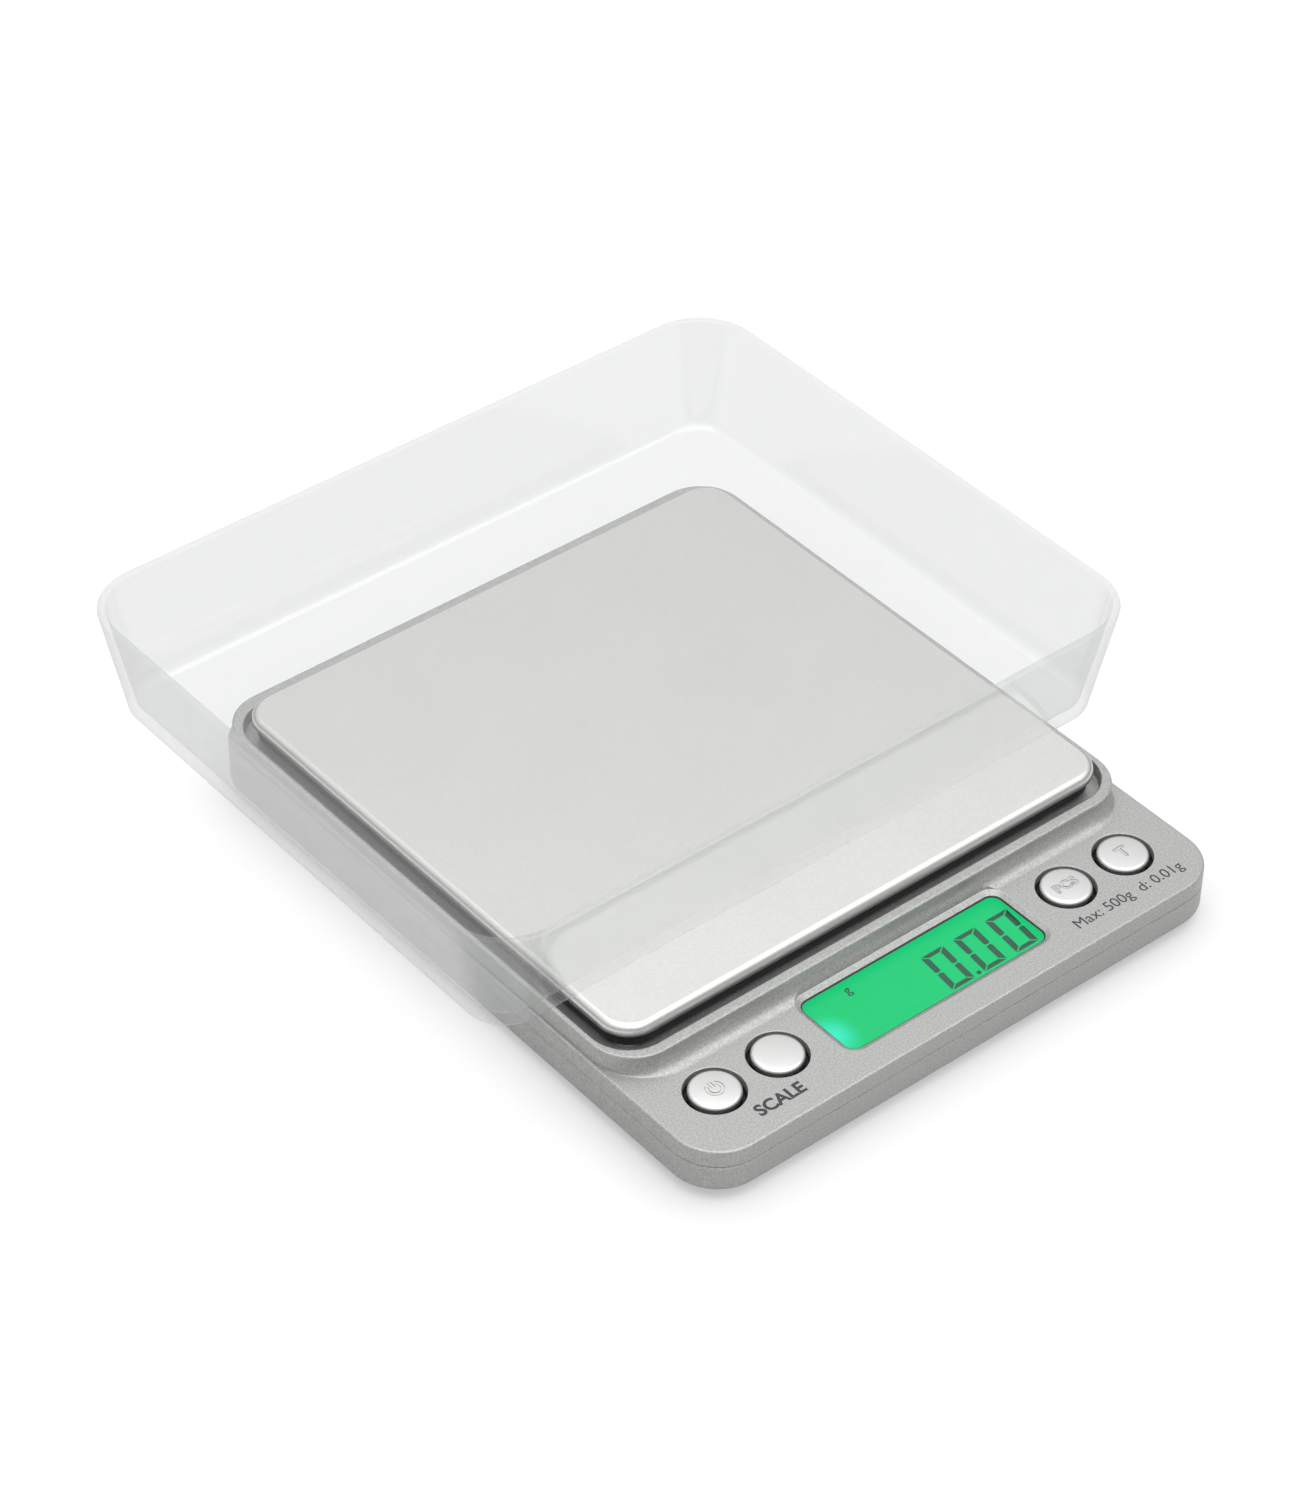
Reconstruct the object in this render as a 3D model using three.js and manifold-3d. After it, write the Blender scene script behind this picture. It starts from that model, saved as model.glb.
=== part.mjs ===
// A digital gram scale with a clear weighing tray.
// Millimetres, +Z up. The control panel is at -Y, and the scale stands on Z = 0.
// The exported group's origin is on the table, under the middle of the whole object with its tray on.

import * as THREE from "three";
import { mergeVertices } from "three/addons/utils/BufferGeometryUtils.js";
import Module from "manifold-3d";

const wasm = await Module();
wasm.setup();

// ---------------------------------------------------------------- driving dimensions

// Housing
const BODY_W = 106;
const BODY_D = 127;
const BODY_CORNER_R = 8.4;
const FOOT_DROP = 2; // table to the housing's underside
const SIDE_H = 8; // underside to the control panel's surface
const SEAM_H = 4.8; // underside to the seam between the two housings
const SEAM_GAP = 0.1;
const WALL = 1.6;
const FLOOR_T = 1.5;
const PANEL_T = 1.5;
const TOP_EDGE_R = 0.6;
const BOTTOM_CHAMFER = 0.8;

// Raised border and recess around the platform
const BORDER_RISE = 3.3; // above the control panel
const BORDER_INSET = 0.5; // in from the housing's sides and back
const BORDER_FRONT_T = 2.2;
const BORDER_DRAFT = 0.2;
const BORDER_EDGE = 0.35;
const BORDER_WIDER_R = 1; // border's corner radius over the recess's
const DECK_DROP = 2.3; // border's crest to the deck under the platform
const DECK_T = 1.3;
const PLATFORM_GAP = 1.4; // between the platform and the border
const UNDER_DECK_INSET = 0.6; // hollow under the deck, in from the recess
const CELL_WINDOW_GAP = 2; // deck's window round the load cell

// Platform
const PLATFORM_W = 99.6;
const PLATFORM_D = 98.4;
const PLATFORM_FROM_BACK = 4.5; // housing's back to the platform
const PLATFORM_CORNER_R = 5.6;
const PLATFORM_RISE = 3; // above the border's crest
const SKIRT_H = 2;
const SHEET_T = 0.6;
const SHEET_BEND_R = 1.2;
const PAD_T = 0.2;
const PAD_SIZE = 12;
const CARRIER_GAP = 0.2; // inside the steel skirt
const CARRIER_T = 1.6;
const CARRIER_WALL = 1.4;
const PRESS_TRAVEL = 0.4; // platform travel until the overload stops meet the carrier
const STOP_R = 2.5;
const STOP_H = 0.6;
const STOP_FROM_CARRIER = 1; // carrier's side to the stop
const RIB_T = 1.4; // stiffening rib under the carrier
const RIB_FRONT = 3; // platform's front to the rib
const RIB_BACK_Y = -6;
const RIB_RISE = 0.6; // carrier's lower edge to the rib's
const CARRIER_BEVEL = 0.6;

// Load cell
const CELL_L = 47;
const CELL_W = 12;
const CELL_H = 6;
const CELL_HOLE_PITCH = 6.5;
const CELL_END_TO_HOLE = 4.5;
const CELL_FLEX_R = 2.2;
const CELL_FLEX_PITCH = 12;
const CELL_PAD_H = 0.7; // floor pad above the floor
const SPACER_T = 0.8;
const SPACER_L = 14;
const CELL_SCREW_R = 1.45;
const CELL_SCREW_HOLE_GAP = 0.3;
const CELL_HEAD_R = 2.5;
const CELL_HEAD_DEPTH = 1.1; // underside to the bearing face
const CARRIER_HEAD_DEPTH = 1.3; // carrier's top to the bearing face
const CELL_PAD_MARGIN = 1;
const CELL_SLIT_SHARE = 0.4; // slit's half height over the flexure bores' radius
const GAUGE_W = 15;
const GAUGE_D = 9;
const GAUGE_R = 1.5;
const GAUGE_T = 0.4;
const GAUGE_EDGE = 0.6;

// Tray
const TRAY_W = 132;
const TRAY_D = 108.6;
const TRAY_H = 20.8;
const TRAY_CORNER_R = 10.8;
const TRAY_DRAFT = 3.5;
const TRAY_WALL = 1.3;
const TRAY_FOOT_R = 1.6; // rounding where wall meets floor
const TRAY_RIM_H = 0.3;
const TRAY_RIM_IN = 0.2;
const TRAY_SHIFT_X = -2.5; // from the platform's centre
const TRAY_SHIFT_Y = 12.4;

// Buttons
const BUTTON_R = 4.2;
const BUTTON_GAP = 0.7;
const BUTTON_PROUD = 0.5;
const BUTTON_EDGE = 0.35;
const BUTTON_FROM_FRONT = 12.1; // housing's front to the button row
const BUTTON_FROM_SIDE = 11;
const BUTTON_PITCH = 12.3;
const BUTTON_FLANGE_LIP = 0.4; // the flange's reach under the panel
const BUTTON_FLANGE_T = 0.45;
const BUTTON_TRAVEL = 0.4;

// Display
const WINDOW_W = 40.4;
const WINDOW_D = 12.6;
const WINDOW_R = 2;
const WINDOW_BEVEL = 0.9;
const DISPLAY_FROM_FRONT = 12.25;
const LENS_T = 0.8;
const LENS_DROP = 0.8; // panel surface down to the lens
const LENS_MARGIN = 1.5; // lens beyond the window on each side
const GLASS_MARGIN_X = 0.8; // glass beyond the window
const GLASS_MARGIN_Y = 1.2;
const GLASS_T = 1.4;
const BACKLIGHT_T = 1;
const FRAME_T = 0.9;
const STRIP_D = 1.6;
const STRIP_END = 1; // glass's end to the strip's
const STRIP_TO_GUIDE = 0.4;
const STRIP_FROM_BACK = 0.1;
const FIT_GAP = 0.15;
const THREAD_GAP = 0.05;

// Main board
const BOARD_T = 1;
const BOARD_FROM_SIDE = 6;
const BOARD_FROM_FRONT = 3;
const BOARD_D = 17.3;
const BOARD_NOTCH_W = 3.5; // clears the front housing posts
const BOARD_NOTCH_D = 5.3;
const BOARD_SCREW_DY = 6.3; // either side of the button row
const SWITCH_SIZE = 6;
const SWITCH_H = 1.6;
const SWITCH_WELL_FLOOR = 0.2;
const SWITCH_SPARE = 0.15; // left between flange and switch at full travel
const BOARD_SCREW_R = 1;
const BOARD_SCREW_BOSS_R = 2.2;
const PLUNGER_R = 1.2;
const PLUNGER_GAP = 0.3;
const PLUNGER_FLOOR_GAP = 0.1; // under the plunger at full travel
const CHIP_X = 9;
const CHIP_R = 4.8;
const CHIP_H = 0.9;

// Screws and feet
const HOUSING_SCREW_INSET = 4.8; // from the housing's sides and ends
const HOUSING_SCREW_R = 1.1;
const HOUSING_HEAD_R = 2.3;
const HOUSING_POST_R = 3;
const HEAD_GAP = 0.3;
const FOOT_R = 5;
const FOOT_RECESS = 0.6;
const FOOT_FROM_SIDE = 11;
const FOOT_FROM_END = 16.5;
const HOUSING_HEAD_DEPTH = 2; // underside to the bearing face
const FOOT_CHAMFER = 0.6;
const SCREW_TIP = 0.6;
const HEAD_TOP_SHARE = 0.8; // flat top's radius over the head's
const HEAD_HALF = 0.5; // share of the head's height for its rounding and its recess
const RECESS_LONG = 0.62; // cross recess's half length over the head's radius
const RECESS_THIN = 0.16;
const HOUSING_SCREW = { headR: HOUSING_HEAD_R, headT: 1.4, shankR: HOUSING_SCREW_R, length: 4.2 };
const BOARD_SCREW = { headR: 1.8, headT: 0.7, shankR: BOARD_SCREW_R, length: 3.2 };
const CELL_SCREW = { headR: CELL_HEAD_R, headT: 1, shankR: CELL_SCREW_R, length: 6.5 };

// Batteries
const CELL_AAA_R = 5.25;
const CELL_AAA_L = 44.5;
const NUB_R = 1.9;
const NUB_L = 0.8;
const BATTERY_PITCH = 11;
const BAY_L = 50;
const BAY_W = 22.4;
const BAY_WALL = 1;
const BAY_FROM_BACK = 21.5; // housing's back to the bay's middle
const BAY_CLEARANCE = 1; // carrier's opening round the bay's cover
const DOOR_T = 1.2;
const DOOR_GAP = 0.3;
const DOOR_TAB_W = 6;
const DOOR_TAB_X = 14;
const CONTACT_T = 0.4;
const CONTACT_GAP = 0.05;
const SPRING_WIRE_R = 0.28;
const SPRING_SINK = 0.1; // dimple or spring inside its plate
const DOOR_LATCH_W = 10;
const DOOR_LATCH_REACH = 1.6;
const TUNNEL_T = 0.8;
const BATTERY_CHAMFER = 0.5;
const DOOR_TO_BATTERY = 0.2;
const BATTERY_TO_TUNNEL = 0.1;
const BAY_UNDER_DECK = 0.2; // left between the bay's walls and the deck
const CONTACT_HALF_W = 4.4;
const CONTACT_HALF_H = 4;
const DIMPLE_TIP_R = 1.2;
const DIMPLE_R = 2.2;
const SPRING_WIDE_R = 2.9;
const SPRING_TIP_R = 2.2;
const SPRING_TURNS = 2.5;
const DOOR_TAB_T = 0.9;
const DOOR_SINK = 0.1; // tab and latch inside the door
const DOOR_TAB_REACH = 1.4;
const DOOR_TAB_LIFT = 0.15; // housing's floor to the tab
const DOOR_NOTCH_LIFT = 0.05;
const DOOR_NOTCH_REACH = 3;
const LATCH_ROOT = 1.2;
const LATCH_HOOK_T = 0.8;
const LATCH_HOOK_H = 1.6; // over the housing's floor
const LATCH_SLOT_H = 4;
const GRIP_COUNT = 5;
const GRIP_PITCH = 1.6;
const GRIP_FROM_EDGE = 4;
const GRIP_HALF_L = 6;
const GRIP_HALF_W = 0.35;
const GRIP_DEPTH = 0.3;

// Leads. Each waypoint is [x, y, z], with z over the run along the floor.
const LEAD_RUN_H = 0.7; // floor to a lead's middle
const LEAD_UNDER_BOARD = 2; // board's back edge to the lead's end
const CELL_LEAD_R = 0.6;
const CELL_LEAD_WAY = [
  [-5, -0.8, 2.8],
  [-5, -2.5, 0.6],
  [-5, -6, 0],
  [-7, -20, 0],
]; // y from the load cell's front
const CELL_LEAD_END_X = -8;
const CELL_LEAD_BEND_Y = -34;
const BATTERY_LEAD_R = 0.55;
const POSITIVE_LEAD_X = -36;
const NEGATIVE_LEAD_X = -38.5;
const BATTERY_LEAD_START = [
  [-0.5, 0, 2],
  [-3, 0, 0.5],
]; // x from the bay's wall, y from the battery's middle
const BATTERY_LEAD_TURN = [
  [3, -1, 0],
  [0, -6, 0],
]; // x from the lead's own line, y from the battery's middle
const BATTERY_LEAD_MIDDLE_Y = 5;
const BATTERY_LEAD_FRONT_Y = -32;
const BATTERY_LEAD_END_DX = 8;

// How far shapes pass each other when they are joined or cut
const PAST = 1; // a cutting tool beyond the face
const SINK = 0.5; // a joined shape inside its host
const SINK_THIN = 0.2; // the same where the host is thin

// ---------------------------------------------------------------- levels and places worked out from them

const FRONT_Y = -BODY_D / 2;
const BACK_Y = BODY_D / 2;
const SIDE_X = BODY_W / 2;
const PLATFORM_CENTRE_Y = BACK_Y - PLATFORM_FROM_BACK - PLATFORM_D / 2;
const BAY_CENTRE_Y = BACK_Y - BAY_FROM_BACK;
const BUTTON_Y = FRONT_Y + BUTTON_FROM_FRONT;
const BUTTON_OUTER_X = SIDE_X - BUTTON_FROM_SIDE;
const BUTTON_INNER_X = BUTTON_OUTER_X - BUTTON_PITCH;
const BUTTON_HOLE_R = BUTTON_R + BUTTON_GAP;
const BUTTON_FLANGE_R = BUTTON_HOLE_R + BUTTON_FLANGE_LIP;
const DISPLAY_Y = FRONT_Y + DISPLAY_FROM_FRONT;
const GLASS_W = WINDOW_W + 2 * GLASS_MARGIN_X;
const GLASS_D = WINDOW_D + 2 * GLASS_MARGIN_Y;
const BOARD_HALF_W = SIDE_X - BOARD_FROM_SIDE;
const BOARD_FRONT_Y = FRONT_Y + BOARD_FROM_FRONT;
const BOARD_BACK_Y = BOARD_FRONT_Y + BOARD_D;
const BOARD_SCREW_X = BUTTON_OUTER_X - BUTTON_PITCH / 2;
const FOOT_X = SIDE_X - FOOT_FROM_SIDE;
const FOOT_Y = BACK_Y - FOOT_FROM_END;

const BODY_BOTTOM = FOOT_DROP;
const FLOOR_TOP = BODY_BOTTOM + FLOOR_T;
const SEAM_Z = BODY_BOTTOM + SEAM_H;
const PANEL_TOP = BODY_BOTTOM + SIDE_H;
const PANEL_UNDER = PANEL_TOP - PANEL_T;
const BORDER_TOP = PANEL_TOP + BORDER_RISE;
const DECK_TOP = BORDER_TOP - DECK_DROP;
const DECK_UNDER = DECK_TOP - DECK_T;
const PLATFORM_TOP = BORDER_TOP + PLATFORM_RISE;
const SHEET_UNDER = PLATFORM_TOP - SHEET_T;
const SKIRT_BOTTOM = PLATFORM_TOP - SKIRT_H;
const CARRIER_TOP = SHEET_UNDER - PAD_T;
const CARRIER_UNDER = CARRIER_TOP - CARRIER_T;
const STOP_TOP = DECK_TOP + STOP_H;
const CARRIER_BOTTOM = STOP_TOP + PRESS_TRAVEL;
const CELL_PAD_TOP = FLOOR_TOP + CELL_PAD_H;
const CELL_BOTTOM = CELL_PAD_TOP + SPACER_T;
const CELL_TOP = CELL_BOTTOM + CELL_H;
const FLANGE_BOTTOM = PANEL_UNDER - BUTTON_FLANGE_T;
const BOARD_TOP = FLANGE_BOTTOM - BUTTON_TRAVEL - SWITCH_SPARE - SWITCH_H;
const BOARD_UNDER = BOARD_TOP - BOARD_T;
const LENS_TOP = PANEL_TOP - LENS_DROP;
const GLASS_BOTTOM = BOARD_TOP + BACKLIGHT_T;
const GLASS_TOP = GLASS_BOTTOM + GLASS_T;
const BATTERY_Z = BODY_BOTTOM + DOOR_T + DOOR_TO_BATTERY + CELL_AAA_R;
const TUNNEL_CEILING = BATTERY_Z + CELL_AAA_R + BATTERY_TO_TUNNEL;
const TUNNEL_TOP = TUNNEL_CEILING + TUNNEL_T;
const HOUSING_SEAT = BODY_BOTTOM + HOUSING_HEAD_DEPTH;
const CELL_SCREW_SEAT = BODY_BOTTOM + CELL_HEAD_DEPTH;
const CARRIER_SEAT = CARRIER_TOP - CARRIER_HEAD_DEPTH;
const TRAY_X = TRAY_SHIFT_X;
const TRAY_Y = PLATFORM_CENTRE_Y + TRAY_SHIFT_Y;
const LEAD_RUN_Z = FLOOR_TOP + LEAD_RUN_H;
const DOOR_TAB_UNDER = FLOOR_TOP + DOOR_TAB_LIFT;

const BUTTONS = [
  ["power", -BUTTON_OUTER_X],
  ["mode", -BUTTON_INNER_X],
  ["count", BUTTON_INNER_X],
  ["tare", BUTTON_OUTER_X],
];

const CORNERS = [
  ["front_left", -1, -1],
  ["front_right", 1, -1],
  ["back_left", -1, 1],
  ["back_right", 1, 1],
];

// ---------------------------------------------------------------- materials

function finish(colour, roughness, metalness, more = {}) {
  return new THREE.MeshStandardMaterial({ color: colour, roughness, metalness, ...more });
}

const silverPaint = () => finish(0xb4b5b4, 0.42, 0.45);
const blackPlastic = () => finish(0x141414, 0.55, 0);
const steel = () => finish(0xc9c7c1, 0.35, 1);
const chrome = () => finish(0xd0d0ce, 0.22, 1);
const rubber = () => finish(0x1c1c1c, 0.85, 0);
const clear = () => finish(0xdfe6e2, 0.08, 0, { transparent: true, opacity: 0.35 });
const boardGreen = () => finish(0x1f5a34, 0.5, 0);
const aluminium = () => finish(0xb9bcc0, 0.4, 1);
const zinc = () => finish(0xa9abad, 0.35, 1);

// ---------------------------------------------------------------- solids

// A closed geometry as a manifold solid, with only its positions kept.
function solid(geometry) {
  const plain = new THREE.BufferGeometry();
  const source = geometry.index ? geometry.toNonIndexed() : geometry;
  plain.setAttribute("position", source.getAttribute("position").clone());
  const merged = mergeVertices(plain, 1e-4);
  const mesh = new wasm.Mesh({
    numProp: 3,
    vertProperties: new Float32Array(merged.attributes.position.array),
    triVerts: new Uint32Array(merged.index.array),
  });
  return new wasm.Manifold(mesh);
}

// A manifold solid back as a geometry.
function geometryOf(shape) {
  const mesh = shape.getMesh();
  const geometry = new THREE.BufferGeometry();
  geometry.setAttribute("position", new THREE.BufferAttribute(new Float32Array(mesh.vertProperties), 3));
  geometry.setIndex(new THREE.BufferAttribute(new Uint32Array(mesh.triVerts), 1));
  geometry.computeVertexNormals();
  return geometry;
}

function join(...shapes) {
  return shapes.reduce((a, b) => a.add(b));
}

function cut(shape, ...tools) {
  return tools.reduce((a, b) => a.subtract(b), shape);
}

function box(x0, x1, y0, y1, z0, z1) {
  const geometry = new THREE.BoxGeometry(x1 - x0, y1 - y0, z1 - z0);
  geometry.translate((x0 + x1) / 2, (y0 + y1) / 2, (z0 + z1) / 2);
  return solid(geometry);
}

// An upright cylinder at x, y.
function post(x, y, radius, z0, z1, sides = 16) {
  const geometry = new THREE.CylinderGeometry(radius, radius, z1 - z0, sides);
  geometry.rotateX(Math.PI / 2);
  geometry.translate(x, y, (z0 + z1) / 2);
  return solid(geometry);
}

// A round body about a vertical axis at x, y, from [radius, z] points that start and end on the axis.
function turned(points, x = 0, y = 0, sides = 24) {
  const profile = points.map(([r, z]) => new THREE.Vector2(r, z));
  const geometry = new THREE.LatheGeometry(profile, sides);
  geometry.rotateX(Math.PI / 2);
  geometry.translate(x, y, 0);
  return solid(geometry);
}

// A rounded rectangle, stacked through levels of [z, inset] from its outline.
function stack({ w, d, r, x = 0, y = 0, segments = 3 }, levels) {
  const flatX = w / 2 - r;
  const flatY = d / 2 - r;
  const outline = new THREE.Shape();
  outline.absarc(flatX, -flatY, r, -Math.PI / 2, 0);
  outline.absarc(flatX, flatY, r, 0, Math.PI / 2);
  outline.absarc(-flatX, flatY, r, Math.PI / 2, Math.PI);
  outline.absarc(-flatX, -flatY, r, Math.PI, 1.5 * Math.PI);
  const steps = levels.length - 1;
  const geometry = new THREE.ExtrudeGeometry(outline, {
    depth: steps,
    steps,
    bevelEnabled: false,
    curveSegments: segments,
  });
  const at = geometry.getAttribute("position");
  for (let i = 0; i < at.count; i++) {
    const [z, inset] = levels[Math.round(at.getZ(i))];
    const coreX = THREE.MathUtils.clamp(at.getX(i), -flatX, flatX);
    const coreY = THREE.MathUtils.clamp(at.getY(i), -flatY, flatY);
    const share = (r - inset) / r;
    at.setXYZ(
      i,
      x + coreX + (at.getX(i) - coreX) * share,
      y + coreY + (at.getY(i) - coreY) * share,
      z,
    );
  }
  return solid(geometry);
}

// Levels of [z, inset] round an edge of the given radius, with the flat end at z and the side towards dir.
function roundedEdge(z, radius, dir, inset = 0, steps = 3) {
  const levels = [];
  for (let i = 0; i <= steps; i++) {
    const angle = (i / steps) * (Math.PI / 2);
    levels.push([z - dir * radius * (1 - Math.sin(angle)), inset + radius * (1 - Math.cos(angle))]);
  }
  return dir > 0 ? levels : levels.reverse();
}

// A round wire along points.
function wire(points, radius, steps, sides = 6) {
  const path = new THREE.CatmullRomCurve3(points.map((p) => new THREE.Vector3(...p)));
  const section = new THREE.Shape();
  section.absarc(0, 0, radius, 0, 2 * Math.PI);
  return solid(
    new THREE.ExtrudeGeometry(section, {
      steps,
      extrudePath: path,
      bevelEnabled: false,
      curveSegments: sides / 2, // an arc is split into twice this many
    }),
  );
}

// ---------------------------------------------------------------- scene graph

const scale = new THREE.Group();
const base = new THREE.Group();
const platform = new THREE.Group();
scale.add(base, platform);

function add(group, name, shape, material) {
  const mesh = new THREE.Mesh(geometryOf(shape), material);
  mesh.name = name;
  group.add(mesh);
  return mesh;
}

// ---------------------------------------------------------------- shared outlines

const bodyOutline = { w: BODY_W, d: BODY_D, r: BODY_CORNER_R };
const platformOutline = {
  w: PLATFORM_W,
  d: PLATFORM_D,
  r: PLATFORM_CORNER_R,
  y: PLATFORM_CENTRE_Y,
};
const recessOutline = grown(platformOutline, PLATFORM_GAP);
const trayOutline = { w: TRAY_W, d: TRAY_D, r: TRAY_CORNER_R, x: TRAY_X, y: TRAY_Y };
const windowOutline = { w: WINDOW_W, d: WINDOW_D, r: WINDOW_R, y: DISPLAY_Y };

function grown(outline, by) {
  return { ...outline, w: outline.w + 2 * by, d: outline.d + 2 * by, r: outline.r + by };
}

const housingScrews = CORNERS.map(([name, sx, sy]) => [
  name,
  sx * (SIDE_X - HOUSING_SCREW_INSET),
  sy * (BACK_Y - HOUSING_SCREW_INSET),
]);

const boardScrews = CORNERS.map(([name, sx, sy]) => [
  name,
  sx * BOARD_SCREW_X,
  BUTTON_Y + sy * BOARD_SCREW_DY,
]);

const cellEnd = CELL_L / 2 - CELL_END_TO_HOLE;
const baseScrewXs = [-cellEnd, -cellEnd + CELL_HOLE_PITCH];
const carrierScrewXs = [cellEnd, cellEnd - CELL_HOLE_PITCH];

// ---------------------------------------------------------------- housings

function bottomHousing() {
  let shape = stack(bodyOutline, [
    [BODY_BOTTOM, BOTTOM_CHAMFER],
    [BODY_BOTTOM + BOTTOM_CHAMFER, 0],
    [SEAM_Z, 0],
  ]);
  shape = cut(shape, stack(bodyOutline, [[FLOOR_TOP, WALL], [SEAM_Z + PAST, WALL]]));

  for (const [, x, y] of housingScrews) {
    shape = join(shape, post(x, y, HOUSING_POST_R, BODY_BOTTOM + BOTTOM_CHAMFER, SEAM_Z));
  }
  for (const [, x, y] of housingScrews) {
    shape = cut(
      shape,
      post(x, y, HOUSING_HEAD_R + HEAD_GAP, BODY_BOTTOM - PAST, HOUSING_SEAT),
      post(x, y, HOUSING_SCREW_R + HEAD_GAP, BODY_BOTTOM, SEAM_Z + PAST),
    );
  }
  for (const [, sx, sy] of CORNERS) {
    const top = BODY_BOTTOM + FOOT_RECESS;
    shape = cut(shape, post(sx * FOOT_X, sy * FOOT_Y, FOOT_R + FIT_GAP, BODY_BOTTOM - PAST, top));
  }
  return withLoadCellPad(withBatteryBay(shape));
}

function withBatteryBay(housing) {
  const y0 = BAY_CENTRE_Y - BAY_W / 2;
  const y1 = BAY_CENTRE_Y + BAY_W / 2;
  const x = BAY_L / 2;
  const walls = box(
    -x - BAY_WALL,
    x + BAY_WALL,
    y0 - BAY_WALL,
    y1 + BAY_WALL,
    FLOOR_TOP - SINK,
    DECK_UNDER - BAY_UNDER_DECK,
  );
  const notch = FLOOR_TOP + DOOR_NOTCH_LIFT;
  let shape = join(housing, walls);
  shape = cut(shape, box(-x, x, y0, y1, BODY_BOTTOM - PAST, DECK_UNDER + PAST));
  for (const sign of [-1, 1]) {
    const middle = sign * DOOR_TAB_X;
    const half = DOOR_TAB_W / 2 + DOOR_GAP;
    const front = y0 - DOOR_NOTCH_REACH;
    shape = cut(shape, box(middle - half, middle + half, front, y0 + SINK, notch, DECK_UNDER));
  }
  const latchHalf = DOOR_LATCH_W / 2 + DOOR_GAP;
  const latchTop = FLOOR_TOP + LATCH_SLOT_H;
  return cut(
    shape,
    box(-latchHalf, latchHalf, y1 - SINK, y1 + DOOR_LATCH_REACH, BODY_BOTTOM - PAST, latchTop),
  );
}

function withLoadCellPad(housing) {
  const x0 = -CELL_L / 2 - CELL_PAD_MARGIN;
  const x1 = -CELL_L / 2 + SPACER_L + CELL_PAD_MARGIN;
  const y = PLATFORM_CENTRE_Y;
  const half = CELL_W / 2 + CELL_PAD_MARGIN;
  let shape = join(housing, box(x0, x1, y - half, y + half, FLOOR_TOP - SINK, CELL_PAD_TOP));
  for (const x of baseScrewXs) {
    shape = cut(
      shape,
      post(x, y, CELL_HEAD_R + HEAD_GAP, BODY_BOTTOM - PAST, CELL_SCREW_SEAT),
      post(x, y, CELL_SCREW_R + HEAD_GAP, BODY_BOTTOM, CELL_PAD_TOP + PAST),
    );
  }
  return shape;
}

function topHousing() {
  const borderOutline = {
    w: BODY_W - 2 * BORDER_INSET,
    d: BACK_Y - BORDER_INSET - (recessFrontY() - BORDER_FRONT_T),
    r: recessOutline.r + BORDER_WIDER_R,
    y: (BACK_Y - BORDER_INSET + recessFrontY() - BORDER_FRONT_T) / 2,
  };
  let shape = stack(bodyOutline, [
    [SEAM_Z + SEAM_GAP, 0],
    ...roundedEdge(PANEL_TOP, TOP_EDGE_R, 1),
  ]);
  shape = join(
    shape,
    stack(borderOutline, [
      [PANEL_TOP - SINK, 0],
      [BORDER_TOP - BORDER_EDGE, BORDER_DRAFT],
      [BORDER_TOP, BORDER_DRAFT + BORDER_EDGE],
    ]),
  );
  shape = cut(
    shape,
    stack(bodyOutline, [[SEAM_Z - PAST, WALL], [PANEL_UNDER, WALL]]),
    stack(grown(recessOutline, -UNDER_DECK_INSET), [[PANEL_UNDER - SINK, 0], [DECK_UNDER, 0]]),
    stack(recessOutline, [[DECK_TOP, 0], [BORDER_TOP + PAST, 0]]),
  );
  shape = withTunnel(shape);
  shape = withDisplayOpening(shape);
  for (const [, x] of BUTTONS) {
    shape = cut(shape, post(x, BUTTON_Y, BUTTON_HOLE_R, PANEL_UNDER - PAST, PANEL_TOP + PAST, 30));
  }
  return withBosses(shape);
}

function recessFrontY() {
  return PLATFORM_CENTRE_Y - recessOutline.d / 2;
}

// The raised cover over the batteries, the window for the load cell and the overload stops.
function withTunnel(housing) {
  const y0 = BAY_CENTRE_Y - BAY_W / 2;
  const y1 = BAY_CENTRE_Y + BAY_W / 2;
  const x = BAY_L / 2;
  const cellX = CELL_L / 2 + CELL_WINDOW_GAP;
  const cellFront = PLATFORM_CENTRE_Y - CELL_W / 2 - CELL_WINDOW_GAP;
  const cellBack = PLATFORM_CENTRE_Y + CELL_W / 2 + CELL_WINDOW_GAP;
  let shape = join(
    housing,
    box(-x - BAY_WALL, x + BAY_WALL, y0 - BAY_WALL, y1 + BAY_WALL, DECK_UNDER, TUNNEL_TOP),
  );
  shape = cut(
    shape,
    box(-x, x, y0, y1, DECK_UNDER - PAST, TUNNEL_CEILING),
    box(-cellX, cellX, cellFront, cellBack, DECK_UNDER - PAST, DECK_TOP + PAST),
  );
  for (const [, sx, sy] of CORNERS) {
    const [px, py] = stopPlace(sx, sy);
    shape = join(shape, post(px, py, STOP_R, DECK_TOP - SINK, STOP_TOP));
  }
  return shape;
}

// The overload stops stand under the corners of the carrier's wall.
function stopPlace(sx, sy) {
  const inset = SHEET_T + CARRIER_GAP + STOP_R + STOP_FROM_CARRIER;
  return [sx * (PLATFORM_W / 2 - inset), PLATFORM_CENTRE_Y + sy * (PLATFORM_D / 2 - inset)];
}

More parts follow.
